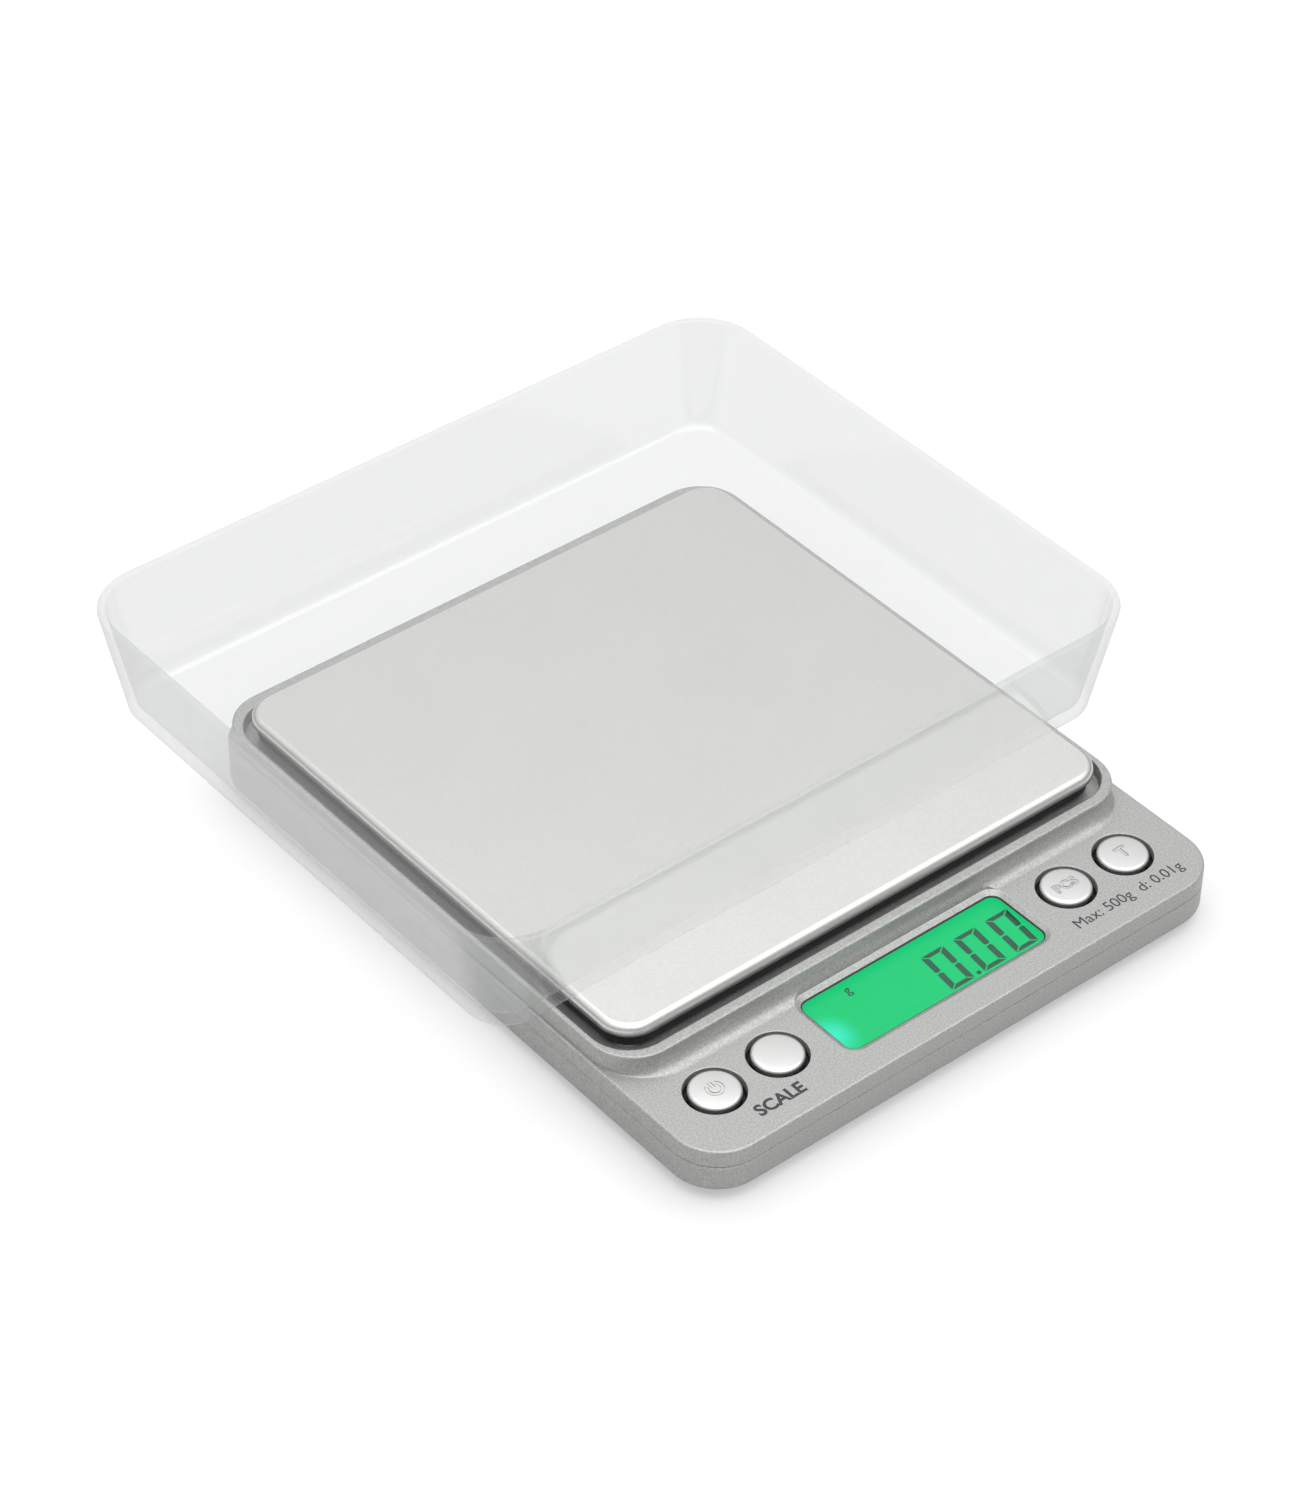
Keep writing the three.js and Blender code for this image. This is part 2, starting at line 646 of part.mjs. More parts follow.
function withDisplayOpening(housing) {
  const bevel = grown(windowOutline, WINDOW_BEVEL);
  const pocket = grown(windowOutline, LENS_MARGIN + FIT_GAP);
  return cut(
    housing,
    stack(bevel, [
      [LENS_TOP - PAST, WINDOW_BEVEL],
      [LENS_TOP, WINDOW_BEVEL],
      [PANEL_TOP, 0],
      [PANEL_TOP + PAST, 0],
    ]),
    stack(pocket, [[PANEL_UNDER - PAST, 0], [LENS_TOP, 0]]),
  );
}

function withBosses(housing) {
  let shape = housing;
  for (const [, x, y] of housingScrews) {
    shape = join(shape, post(x, y, HOUSING_POST_R, SEAM_Z + SEAM_GAP, PANEL_UNDER + SINK_THIN));
    shape = cut(shape, post(x, y, HOUSING_SCREW_R + THREAD_GAP, SEAM_Z, PANEL_UNDER));
  }
  for (const [, x, y] of boardScrews) {
    shape = join(shape, post(x, y, BOARD_SCREW_BOSS_R, BOARD_TOP, PANEL_UNDER + SINK_THIN));
    shape = cut(shape, post(x, y, BOARD_SCREW_R + THREAD_GAP, BOARD_TOP - PAST, PANEL_UNDER));
  }
  return shape;
}

// ---------------------------------------------------------------- feet and screws

function foot(x, y) {
  return turned(
    [
      [0, 0],
      [FOOT_R - FOOT_CHAMFER, 0],
      [FOOT_R, FOOT_CHAMFER],
      [FOOT_R, BODY_BOTTOM + FOOT_RECESS],
      [0, BODY_BOTTOM + FOOT_RECESS],
    ],
    x,
    y,
  );
}

// A pan-head screw. The head's bearing face is at seat, and the shank points up for dir 1, down for -1.
function screw(x, y, seat, dir, { headR, headT, shankR, length }) {
  const flip = (points) => (dir > 0 ? points : points.reverse());
  const profile = flip([
    [0, seat - dir * headT],
    [headR * HEAD_TOP_SHARE, seat - dir * headT],
    [headR, seat - dir * headT * HEAD_HALF],
    [headR, seat],
    [shankR, seat],
    [shankR, seat + dir * (length - SCREW_TIP)],
    [shankR / 2, seat + dir * length],
    [0, seat + dir * length],
  ]);
  const ends = [seat - dir * (headT + PAST), seat - dir * headT * HEAD_HALF];
  const low = Math.min(...ends);
  const high = Math.max(...ends);
  const long = headR * RECESS_LONG;
  const thin = headR * RECESS_THIN;
  return cut(
    turned(profile, x, y, 12),
    box(x - long, x + long, y - thin, y + thin, low, high),
    box(x - thin, x + thin, y - long, y + long, low, high),
  );
}

function addHousings() {
  add(base, "bottom_housing", bottomHousing(), silverPaint());
  add(base, "top_housing", topHousing(), silverPaint());
  for (const [name, sx, sy] of CORNERS) {
    add(base, "foot_" + name, foot(sx * FOOT_X, sy * FOOT_Y), rubber());
  }
  for (const [name, x, y] of housingScrews) {
    add(base, "housing_screw_" + name, screw(x, y, HOUSING_SEAT, 1, HOUSING_SCREW), zinc());
  }
}

// ---------------------------------------------------------------- board and display

function mainBoard() {
  let shape = box(-BOARD_HALF_W, BOARD_HALF_W, BOARD_FRONT_Y, BOARD_BACK_Y, BOARD_UNDER, BOARD_TOP);
  for (const sign of [-1, 1]) {
    const x = sign * BOARD_HALF_W;
    const y = BOARD_FRONT_Y + BOARD_NOTCH_D;
    const x0 = x - BOARD_NOTCH_W;
    const x1 = x + BOARD_NOTCH_W;
    shape = cut(shape, box(x0, x1, BOARD_FRONT_Y - PAST, y, BOARD_UNDER - PAST, BOARD_TOP + PAST));
  }
  for (const [, x, y] of boardScrews) {
    shape = cut(shape, post(x, y, BOARD_SCREW_R + FIT_GAP, BOARD_UNDER - PAST, BOARD_TOP + PAST));
  }
  return shape;
}

function tactSwitch(x) {
  const half = SWITCH_SIZE / 2;
  return cut(
    box(x - half, x + half, BUTTON_Y - half, BUTTON_Y + half, BOARD_TOP, BOARD_TOP + SWITCH_H),
    post(x, BUTTON_Y, PLUNGER_R + PLUNGER_GAP, BOARD_TOP + SWITCH_WELL_FLOOR, BOARD_TOP + SWITCH_H + PAST),
  );
}

function displayFrame() {
  const x = GLASS_W / 2 + FIT_GAP;
  const y = GLASS_D / 2 + FIT_GAP;
  return cut(
    box(-x - FRAME_T, x + FRAME_T, DISPLAY_Y - y - FRAME_T, DISPLAY_Y + y + FRAME_T, BOARD_TOP, GLASS_TOP),
    box(-x, x, DISPLAY_Y - y, DISPLAY_Y + y, BOARD_TOP - PAST, GLASS_TOP + PAST),
  );
}

function addElectronics() {
  add(base, "main_board", mainBoard(), boardGreen());
  const chipProfile = [0, 30, 60, 90].map((angle) => {
    const turn = THREE.MathUtils.degToRad(angle);
    return [CHIP_R * Math.sin(turn), BOARD_UNDER - CHIP_H * Math.cos(turn)];
  });
  add(base, "controller_chip", turned([...chipProfile, [0, BOARD_UNDER]], CHIP_X, DISPLAY_Y), blackPlastic());
  for (const [name, x] of BUTTONS) {
    add(base, "switch_" + name, tactSwitch(x), blackPlastic());
  }
  for (const [name, x, y] of boardScrews) {
    add(base, "board_screw_" + name, screw(x, y, BOARD_UNDER, 1, BOARD_SCREW), zinc());
  }

  const lens = grown(windowOutline, LENS_MARGIN);
  const glassX = GLASS_W / 2;
  const stripX = glassX - STRIP_END;
  const glassBack = DISPLAY_Y + GLASS_D / 2;
  const glassFront = DISPLAY_Y - GLASS_D / 2;
  add(base, "display_lens", stack(lens, [[LENS_TOP - LENS_T, 0], [LENS_TOP, 0]]), clear());
  add(
    base,
    "display_glass",
    box(-glassX, glassX, glassFront, glassBack, GLASS_BOTTOM, GLASS_TOP),
    finish(0x2bc878, 0.1, 0),
  );
  add(
    base,
    "display_backlight",
    box(-glassX, glassX, glassFront, glassBack - STRIP_D - STRIP_TO_GUIDE, BOARD_TOP, GLASS_BOTTOM),
    finish(0xdff5e6, 0.5, 0),
  );
  add(
    base,
    "display_contact_strip",
    box(-stripX, stripX, glassBack - STRIP_D, glassBack - STRIP_FROM_BACK, BOARD_TOP, GLASS_BOTTOM),
    finish(0xd98c8c, 0.8, 0),
  );
  add(base, "display_frame", displayFrame(), blackPlastic());
}

// ---------------------------------------------------------------- buttons

function buttonCap() {
  const top = PANEL_TOP + BUTTON_PROUD;
  return turned(
    [
      [0, FLANGE_BOTTOM],
      [BUTTON_FLANGE_R, FLANGE_BOTTOM],
      [BUTTON_FLANGE_R, PANEL_UNDER],
      [BUTTON_R, PANEL_UNDER],
      [BUTTON_R, top - BUTTON_EDGE],
      [BUTTON_R - BUTTON_EDGE, top],
      [0, top],
    ],
    0,
    0,
    30,
  );
}

function addButtons() {
  const plungerBottom = BOARD_TOP + SWITCH_WELL_FLOOR + BUTTON_TRAVEL + PLUNGER_FLOOR_GAP;
  for (const [name, x] of BUTTONS) {
    const button = new THREE.Group();
    button.position.set(x, BUTTON_Y, 0);
    add(button, "button_" + name, buttonCap(), chrome());
    add(
      button,
      "plunger_" + name,
      post(0, 0, PLUNGER_R, plungerBottom, FLANGE_BOTTOM),
      finish(0xe8e4da, 0.5, 0),
    );
    base.add(button);
  }
}

// ---------------------------------------------------------------- load cell

function loadCell() {
  const y0 = PLATFORM_CENTRE_Y - CELL_W / 2;
  const y1 = PLATFORM_CENTRE_Y + CELL_W / 2;
  const middle = (CELL_BOTTOM + CELL_TOP) / 2;
  let shape = box(-CELL_L / 2, CELL_L / 2, y0, y1, CELL_BOTTOM, CELL_TOP);
  for (const sign of [-1, 1]) {
    const bore = new THREE.CylinderGeometry(CELL_FLEX_R, CELL_FLEX_R, CELL_W + 2 * PAST, 24);
    bore.translate((sign * CELL_FLEX_PITCH) / 2, PLATFORM_CENTRE_Y, middle);
    shape = cut(shape, solid(bore));
  }
  const slit = CELL_FLEX_R * CELL_SLIT_SHARE;
  const flex = CELL_FLEX_PITCH / 2;
  shape = cut(shape, box(-flex, flex, y0 - PAST, y1 + PAST, middle - slit, middle + slit));
  for (const x of [...baseScrewXs, ...carrierScrewXs]) {
    shape = cut(
      shape,
      post(x, PLATFORM_CENTRE_Y, CELL_SCREW_R + CELL_SCREW_HOLE_GAP, CELL_BOTTOM - PAST, CELL_TOP + PAST),
    );
  }
  return shape;
}

function cellSpacer(xs, z0, z1) {
  const half = SPACER_L / 2;
  const middle = Math.sign(xs[0]) * (CELL_L / 2 - half);
  const y0 = PLATFORM_CENTRE_Y - CELL_W / 2;
  let shape = box(middle - half, middle + half, y0, y0 + CELL_W, z0, z1);
  for (const x of xs) {
    shape = cut(shape, post(x, PLATFORM_CENTRE_Y, CELL_SCREW_R + FIT_GAP, z0 - PAST, z1 + PAST));
  }
  return shape;
}

function addLoadCell() {
  add(base, "load_cell", loadCell(), aluminium());
  add(base, "load_cell_spacer_base", cellSpacer(baseScrewXs, CELL_PAD_TOP, CELL_BOTTOM), zinc());
  baseScrewXs.forEach((x, i) => {
    const shape = screw(x, PLATFORM_CENTRE_Y, CELL_SCREW_SEAT, 1, CELL_SCREW);
    add(base, "load_cell_screw_" + (i + 1), shape, zinc());
  });
  const gauge = { w: GAUGE_W, d: GAUGE_D, r: GAUGE_R, y: PLATFORM_CENTRE_Y, segments: 4 };
  add(
    base,
    "gauge_coating",
    stack(gauge, [[CELL_TOP, 0], [CELL_TOP + GAUGE_T / 2, 0], [CELL_TOP + GAUGE_T, GAUGE_EDGE]]),
    finish(0xe9e6df, 0.7, 0),
  );
}

// ---------------------------------------------------------------- batteries and door

function battery(y, direction) {
  const half = CELL_AAA_L / 2;
  const geometry = new THREE.LatheGeometry(
    [
      [0, -half],
      [CELL_AAA_R - BATTERY_CHAMFER, -half],
      [CELL_AAA_R, -half + BATTERY_CHAMFER],
      [CELL_AAA_R, half - NUB_L - BATTERY_CHAMFER],
      [CELL_AAA_R - BATTERY_CHAMFER, half - NUB_L],
      [NUB_R, half - NUB_L],
      [NUB_R, half],
      [0, half],
    ].map(([r, l]) => new THREE.Vector2(r, l)),
    20,
  );
  geometry.rotateZ((-direction * Math.PI) / 2);
  geometry.translate(0, y, BATTERY_Z);
  return solid(geometry);
}

// A coil spring along X that presses on a battery's flat end.
function contactSpring(x0, x1, y) {
  const count = 30;
  const points = [];
  for (let i = 0; i <= count; i++) {
    const t = i / count;
    const angle = t * SPRING_TURNS * 2 * Math.PI;
    const r = THREE.MathUtils.lerp(SPRING_WIDE_R, SPRING_TIP_R, t);
    points.push([x0 + (x1 - x0) * t, y + r * Math.cos(angle), BATTERY_Z + r * Math.sin(angle)]);
  }
  return wire(points, SPRING_WIRE_R, 40);
}

function contactDimple(x0, x1, y) {
  const geometry = new THREE.CylinderGeometry(DIMPLE_TIP_R, DIMPLE_R, Math.abs(x1 - x0), 16);
  geometry.rotateZ(x1 > x0 ? -Math.PI / 2 : Math.PI / 2);
  geometry.translate((x0 + x1) / 2, y, BATTERY_Z);
  return solid(geometry);
}

function addBatteries() {
  const yFront = BAY_CENTRE_Y - BATTERY_PITCH / 2;
  const yBack = BAY_CENTRE_Y + BATTERY_PITCH / 2;
  const wall = BAY_L / 2;
  const plate = wall - CONTACT_T;
  const reach = CELL_AAA_L / 2 + CONTACT_GAP;
  const innerPlate = plate + SPRING_SINK;
  const z0 = BATTERY_Z - CONTACT_HALF_H;
  const z1 = BATTERY_Z + CONTACT_HALF_H;
  const front0 = yFront - CONTACT_HALF_W;
  const front1 = yFront + CONTACT_HALF_W;
  const back0 = yBack - CONTACT_HALF_W;
  const back1 = yBack + CONTACT_HALF_W;
  add(base, "battery_front", battery(yFront, -1), finish(0x2a6f8f, 0.35, 0.3));
  add(base, "battery_back", battery(yBack, 1), finish(0x2a6f8f, 0.35, 0.3));
  add(
    base,
    "battery_contact_positive",
    join(box(-wall, -plate, front0, front1, z0, z1), contactDimple(-innerPlate, -reach, yFront)),
    zinc(),
  );
  add(
    base,
    "battery_contact_negative",
    join(
      box(-wall, -plate, back0, back1, z0, z1),
      contactSpring(-innerPlate, -reach - SPRING_WIRE_R, yBack),
    ),
    zinc(),
  );
  add(
    base,
    "battery_contact_bridge",
    join(
      box(plate, wall, front0, back1, z0, z1),
      contactDimple(innerPlate, reach, yBack),
      contactSpring(innerPlate, reach + SPRING_WIRE_R, yFront),
    ),
    zinc(),
  );
}

// The door pivots on its lower front edge, where two tabs hook over the floor.
function batteryDoor() {
  const y0 = BAY_CENTRE_Y - BAY_W / 2;
  const y1 = BAY_CENTRE_Y + BAY_W / 2;
  const x = BAY_L / 2 - DOOR_GAP;
  const front = y0 + DOOR_GAP;
  const tabTop = DOOR_TAB_UNDER + DOOR_TAB_T;
  const tabBack = front + DOOR_TAB_T;
  const doorTop = BODY_BOTTOM + DOOR_T;
  const root = doorTop - DOOR_SINK;
  let shape = box(-x, x, front, y1 - DOOR_GAP, BODY_BOTTOM, doorTop);
  for (const sign of [-1, 1]) {
    const x0 = sign * DOOR_TAB_X - DOOR_TAB_W / 2;
    const x1 = x0 + DOOR_TAB_W;
    shape = join(
      shape,
      box(x0, x1, front, tabBack, root, tabTop),
      box(x0, x1, y0 - DOOR_TAB_REACH, tabBack, DOOR_TAB_UNDER, tabTop),
    );
  }
  const latch = DOOR_LATCH_W / 2;
  const latchBack = y1 + DOOR_LATCH_REACH - DOOR_GAP;
  shape = join(
    shape,
    box(-latch, latch, y1 - LATCH_ROOT, latchBack, BODY_BOTTOM, doorTop),
    box(-latch, latch, latchBack - LATCH_HOOK_T, latchBack, root, FLOOR_TOP + LATCH_HOOK_H),
  );
  for (let i = 0; i < GRIP_COUNT; i++) {
    const y = y1 - GRIP_FROM_EDGE - i * GRIP_PITCH;
    const low = y - GRIP_HALF_W;
    const high = y + GRIP_HALF_W;
    const top = BODY_BOTTOM + GRIP_DEPTH;
    shape = cut(shape, box(-GRIP_HALF_L, GRIP_HALF_L, low, high, BODY_BOTTOM - PAST, top));
  }
  return shape;
}

// ---------------------------------------------------------------- leads held inside the housing

function addLeads() {
  const z = LEAD_RUN_Z;
  const boardEdge = BOARD_BACK_Y - LEAD_UNDER_BOARD;
  const bayX = -BAY_L / 2 - BAY_WALL;
  const cellFront = PLATFORM_CENTRE_Y - CELL_W / 2;
  const cellWay = [
    ...CELL_LEAD_WAY.map(([x, dy, dz]) => [x, cellFront + dy, z + dz]),
    [CELL_LEAD_END_X, CELL_LEAD_BEND_Y, z],
    [CELL_LEAD_END_X, boardEdge, z],
  ];
  add(base, "load_cell_lead", wire(cellWay, CELL_LEAD_R, 30), finish(0xd9d6cf, 0.6, 0));
  const leads = [
    ["battery_lead_positive", BAY_CENTRE_Y - BATTERY_PITCH / 2, POSITIVE_LEAD_X, 0xb02a22],
    ["battery_lead_negative", BAY_CENTRE_Y + BATTERY_PITCH / 2, NEGATIVE_LEAD_X, 0x1b1b1b],
  ];
  for (const [name, y, x, colour] of leads) {
    const way = [
      ...BATTERY_LEAD_START.map(([dx, dy, dz]) => [bayX + dx, y + dy, z + dz]),
      ...BATTERY_LEAD_TURN.map(([dx, dy, dz]) => [x + dx, y + dy, z + dz]),
      [x, BATTERY_LEAD_MIDDLE_Y, z],
      [x, BATTERY_LEAD_FRONT_Y, z],
      [x + BATTERY_LEAD_END_DX, boardEdge, z],
    ];
    add(base, name, wire(way, BATTERY_LEAD_R, 40), finish(colour, 0.5, 0));
  }
}

// ---------------------------------------------------------------- platform

function carrier() {
  const inset = SHEET_T + CARRIER_GAP;
  const inner = inset + CARRIER_WALL;
  const bay = BAY_WALL + BAY_CLEARANCE;
  const y0 = BAY_CENTRE_Y - BAY_W / 2 - bay;
  const y1 = BAY_CENTRE_Y + BAY_W / 2 + bay;
  const x = BAY_L / 2 + bay;
  const padX = CELL_L / 2 - SPACER_L;
  const cellFront = PLATFORM_CENTRE_Y - CELL_W / 2;
  const sunk = CARRIER_UNDER + SINK_THIN;
  const ribFront = PLATFORM_CENTRE_Y - PLATFORM_D / 2 + RIB_FRONT;
  let shape = cut(
    stack(platformOutline, [
      [CARRIER_BOTTOM, inset],
      [CARRIER_TOP - CARRIER_BEVEL, inset],
      [CARRIER_TOP, inset + CARRIER_BEVEL],
    ]),
    stack(platformOutline, [[CARRIER_BOTTOM - PAST, inner], [CARRIER_UNDER, inner]]),
  );
  for (const [, sx, sy] of CORNERS) {
    const [px, py] = stopPlace(sx, sy);
    shape = join(shape, post(px, py, STOP_R, CARRIER_BOTTOM, sunk));
  }
  shape = join(
    shape,
    box(padX, CELL_L / 2, cellFront, cellFront + CELL_W, CELL_TOP + SPACER_T, sunk),
    box(-RIB_T / 2, RIB_T / 2, ribFront, RIB_BACK_Y, CARRIER_BOTTOM + RIB_RISE, sunk),
  );
  shape = cut(shape, box(-x, x, y0, y1, CARRIER_BOTTOM - PAST, CARRIER_TOP + PAST));
  for (const screwX of carrierScrewXs) {
    shape = cut(
      shape,
      post(screwX, PLATFORM_CENTRE_Y, CELL_HEAD_R + HEAD_GAP, CARRIER_SEAT, CARRIER_TOP + PAST),
      post(screwX, PLATFORM_CENTRE_Y, CELL_SCREW_R + FIT_GAP, CELL_TOP, CARRIER_TOP),
    );
  }
  return shape;
}

function steelPlatform() {
  return cut(
    stack(platformOutline, [[SKIRT_BOTTOM, 0], ...roundedEdge(PLATFORM_TOP, SHEET_BEND_R, 1, 0, 4)]),
    stack(platformOutline, [
      [SKIRT_BOTTOM - PAST, SHEET_T],
      ...roundedEdge(SHEET_UNDER, SHEET_BEND_R - SHEET_T, 1, SHEET_T, 2),
    ]),
  );
}

function addPlatform() {
  add(platform, "platform_carrier", carrier(), blackPlastic());
  add(platform, "steel_platform", steelPlatform(), steel());
  add(
    platform,
    "load_cell_spacer_platform",
    cellSpacer(carrierScrewXs, CELL_TOP, CELL_TOP + SPACER_T),
    zinc(),
  );
  carrierScrewXs.forEach((x, i) => {
    const shape = screw(x, PLATFORM_CENTRE_Y, CARRIER_SEAT, -1, CELL_SCREW);
    add(platform, "carrier_screw_" + (i + 1), shape, zinc());
  });
  for (const [name, sx, sy] of CORNERS) {
    const x = sx * (PLATFORM_W / 2 - PAD_SIZE);
    const y = PLATFORM_CENTRE_Y + sy * (PLATFORM_D / 2 - PAD_SIZE);
    const half = PAD_SIZE / 2;
    add(
      platform,
      "platform_pad_" + name,
      box(x - half, x + half, y - half, y + half, CARRIER_TOP, SHEET_UNDER),
      finish(0xf2f2ee, 0.8, 0),
    );
  }
}

// ---------------------------------------------------------------- tray

function clearTray() {
  const z = PLATFORM_TOP;
  const top = z + TRAY_H;
  const innerFoot = TRAY_DRAFT + TRAY_WALL;
  return cut(
    stack({ ...trayOutline, segments: 4 }, [
      ...roundedEdge(z, TRAY_FOOT_R, -1, TRAY_DRAFT, 3),
      [top - TRAY_RIM_H, 0],
      [top, TRAY_RIM_IN],
    ]),
    stack({ ...trayOutline, segments: 4 }, [
      ...roundedEdge(z + TRAY_WALL, TRAY_FOOT_R, -1, innerFoot, 3),
      [top, TRAY_WALL],
      [top + PAST, TRAY_WALL],
    ]),
  );
}

// ---------------------------------------------------------------- assembly

addHousings();
addElectronics();
addButtons();
addLoadCell();
addBatteries();
addLeads();
add(base, "battery_door", batteryDoor(), silverPaint());
addPlatform();
add(scale, "clear_tray", clearTray(), clear());

// The origin goes to the middle of everything, seen from above.
function middle(bodyHalf, centre, trayHalf) {
  return (Math.min(-bodyHalf, centre - trayHalf) + Math.max(bodyHalf, centre + trayHalf)) / 2;
}

scale.position.set(-middle(SIDE_X, TRAY_X, TRAY_W / 2), -middle(BACK_Y, TRAY_Y, TRAY_D / 2), 0);

const part = new THREE.Group();
part.add(scale);

export default part;
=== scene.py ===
"""A digital gram scale with a clear tray: its pieces, finishes and a plain studio, built around the frame."""

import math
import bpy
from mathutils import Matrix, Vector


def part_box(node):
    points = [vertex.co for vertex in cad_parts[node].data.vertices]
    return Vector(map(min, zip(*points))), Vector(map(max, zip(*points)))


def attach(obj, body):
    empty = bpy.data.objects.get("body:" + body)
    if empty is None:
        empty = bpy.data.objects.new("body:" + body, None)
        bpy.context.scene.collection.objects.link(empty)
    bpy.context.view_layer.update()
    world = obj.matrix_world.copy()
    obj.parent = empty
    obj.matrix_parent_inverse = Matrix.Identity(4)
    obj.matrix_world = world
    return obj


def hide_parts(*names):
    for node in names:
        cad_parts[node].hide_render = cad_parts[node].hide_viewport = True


bl_info = {
    "name": "Digital Gram Scale",
    "version": (1, 0, 0),
    "blender": (4, 5, 0),
    "location": "3D View > Sidebar > Gram Scale",
    "description": "Builds a digital gram scale piece by piece around its frame",
    "category": "Add Mesh",
}

import bmesh
import bpy
from bpy.props import FloatProperty, FloatVectorProperty, PointerProperty, StringProperty
from mathutils import Matrix, Vector

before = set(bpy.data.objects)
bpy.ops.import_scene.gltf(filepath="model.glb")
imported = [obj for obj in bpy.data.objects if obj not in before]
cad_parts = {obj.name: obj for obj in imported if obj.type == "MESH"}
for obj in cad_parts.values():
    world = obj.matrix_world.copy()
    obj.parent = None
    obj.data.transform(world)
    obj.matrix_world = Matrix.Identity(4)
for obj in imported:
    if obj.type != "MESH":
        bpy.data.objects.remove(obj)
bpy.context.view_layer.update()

# ---------------------------------------- places, in millimetres from the housing's middle

MM = 0.001
HOUSING_LOW, HOUSING_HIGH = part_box("bottom_housing")
MIDDLE_X = (HOUSING_LOW.x + HOUSING_HIGH.x) / 2
MIDDLE_Y = (HOUSING_LOW.y + HOUSING_HIGH.y) / 2
TO_FRAME = Matrix.Translation((MIDDLE_X, MIDDLE_Y, 0)) @ Matrix.Scale(MM, 4)


class Box:
    """A CAD node's box in millimetres from the housing's middle, with z from the table."""

    def __init__(self, node):
        low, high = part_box(node)
        self.x0, self.x1 = (low.x - MIDDLE_X) / MM, (high.x - MIDDLE_X) / MM
        self.y0, self.y1 = (low.y - MIDDLE_Y) / MM, (high.y - MIDDLE_Y) / MM
        self.z0, self.z1 = low.z / MM, high.z / MM
        self.x, self.y = (self.x0 + self.x1) / 2, (self.y0 + self.y1) / 2
        self.w, self.d = self.x1 - self.x0, self.y1 - self.y0


HOUSING = Box("bottom_housing")
PLATFORM = Box("steel_platform")
TRAY = Box("clear_tray")
LENS = Box("display_lens")
GLASS = Box("display_glass")
DOOR = Box("battery_door")
CELL = Box("load_cell")
BOARD = Box("main_board")

CORNERS = ("front_left", "front_right", "back_left", "back_right")
BUTTONS = ("power", "mode", "count", "tare")

# Housing levels and outlines
CORNER_R = 8.4
PANEL_TOP = LENS.z1 + 0.8
PANEL_UNDER = PANEL_TOP - 1.5
CREST = PLATFORM.z1 - 3
DECK_TOP = CREST - 2.3
DECK_UNDER = DECK_TOP - 1.3
SEAM = HOUSING.z0 + 4.8
SEAM_TOP = SEAM + 0.1
FLOOR_TOP = HOUSING.z0 + 1.5
WALL = 1.6
FLOOR_FILLET = 0.4
SIDE_INSET = 0.72  # from the panel's side to the raised border
BORDER_OVERLAP = 0.2  # of the border's front wall over the recess gap
HOLLOW_STEPS = 8
HOLLOW_NUDGE = 0.04  # keeps the border's rings apart while the hollow rises
RECESS_EDGE = 0.3
RECESS_FILLET = 0.4
PLATFORM_R = 5.6
RECESS_GAP = 1.4
RECESS_R = PLATFORM_R + RECESS_GAP
BORDER_R = RECESS_R + 1
BORDER_FRONT = 2.2
WINDOW_BACKSET = 1.25
LENS_GAP = 0.15
POCKET_R = 3.65
WINDOW_R = 2
BUTTON_HOLE_R = 4.9
STOP_INSET = 4.3  # from the platform's side to an overload stop's middle
STOP_R = 2.5
STOP_EDGE = 0.15
STOP_CHAMFER = 0.14
STOP_HIGH = 0.56  # a little under the frame's, so that it stays clear of the carrier when pressed
POST_R = 3
SCREW_SHANK_R = 1.1
BOSS_R = 2.2
BOARD_SCREW_R = 1.0
CELL_SCREW_R = 1.45
BORE_GAP = 0.05
BAY_HALF_X = 25
BAY_HALF_Y = 11.2
BAY_Y = DOOR.y0 + 1.4 + BAY_HALF_Y
BAY_WALL = 1
TUNNEL_TOP = Box("top_housing").z1
DECK_MARGIN = 0.6  # from the recess's wall to the hollow under the deck
CELL_MARGIN = 2
CELL_PAD_LONG = 15
CELL_PAD_HIGH = 0.7
SCREW_SEAT_R = 2.6
SCREW_SEAT_DEEP = 2
CELL_SEAT_R = 2.8
CELL_SEAT_DEEP = 1.1
FOOT_SEAT_R = 5.15
FOOT_SEAT_DEEP = 0.6
MOUTH_BEVEL = 0.15
HINGE_X = 14  # from the middle to a hinge tongue
LATCH_HALF = 5
DOOR_T = 1.2
PAST = 1  # a cutting tool goes this far past the surface
SINK = 0.5  # an added shape starts this far inside its neighbour
REST_GAP = 0.03  # between the tray's underside and the steel


# ---------------------------------------- sizes and colours that a user may change


def length(name, description, default, low=0.0, high=1.0):
    """A size in metres, shown in the scene's own units."""
    return FloatProperty(
        name=name, description=description, default=default, min=low, max=high,
        precision=5, unit="LENGTH", subtype="DISTANCE",
    )


def colour(name, description, default):
    """A linear colour without alpha."""
    return FloatVectorProperty(
        name=name, description=description, default=default, min=0, max=1, size=3, subtype="COLOR",
    )


class HousingSizes(bpy.types.PropertyGroup):
    panel_edge: length("Panel edge", "Rounding where the panel meets the sides", 0.0005)
    seam_lip: length("Seam lip", "Bevel on both sides of the seam", 0.00018)
    fillet: length("Fillet", "Hollow between the panel and the raised border", 0.0026)
    crest_edge: length("Crest edge", "Rounding along the border's crest", 0.00035)
    foot_edge: length("Lower edge", "Rounding along the underside", 0.0008)
    window_bevel: length("Window bevel", "Sloped frame round the display", 0.0009)
    print_height: length("Print height", "Cap height of the capacity line", 0.0021)


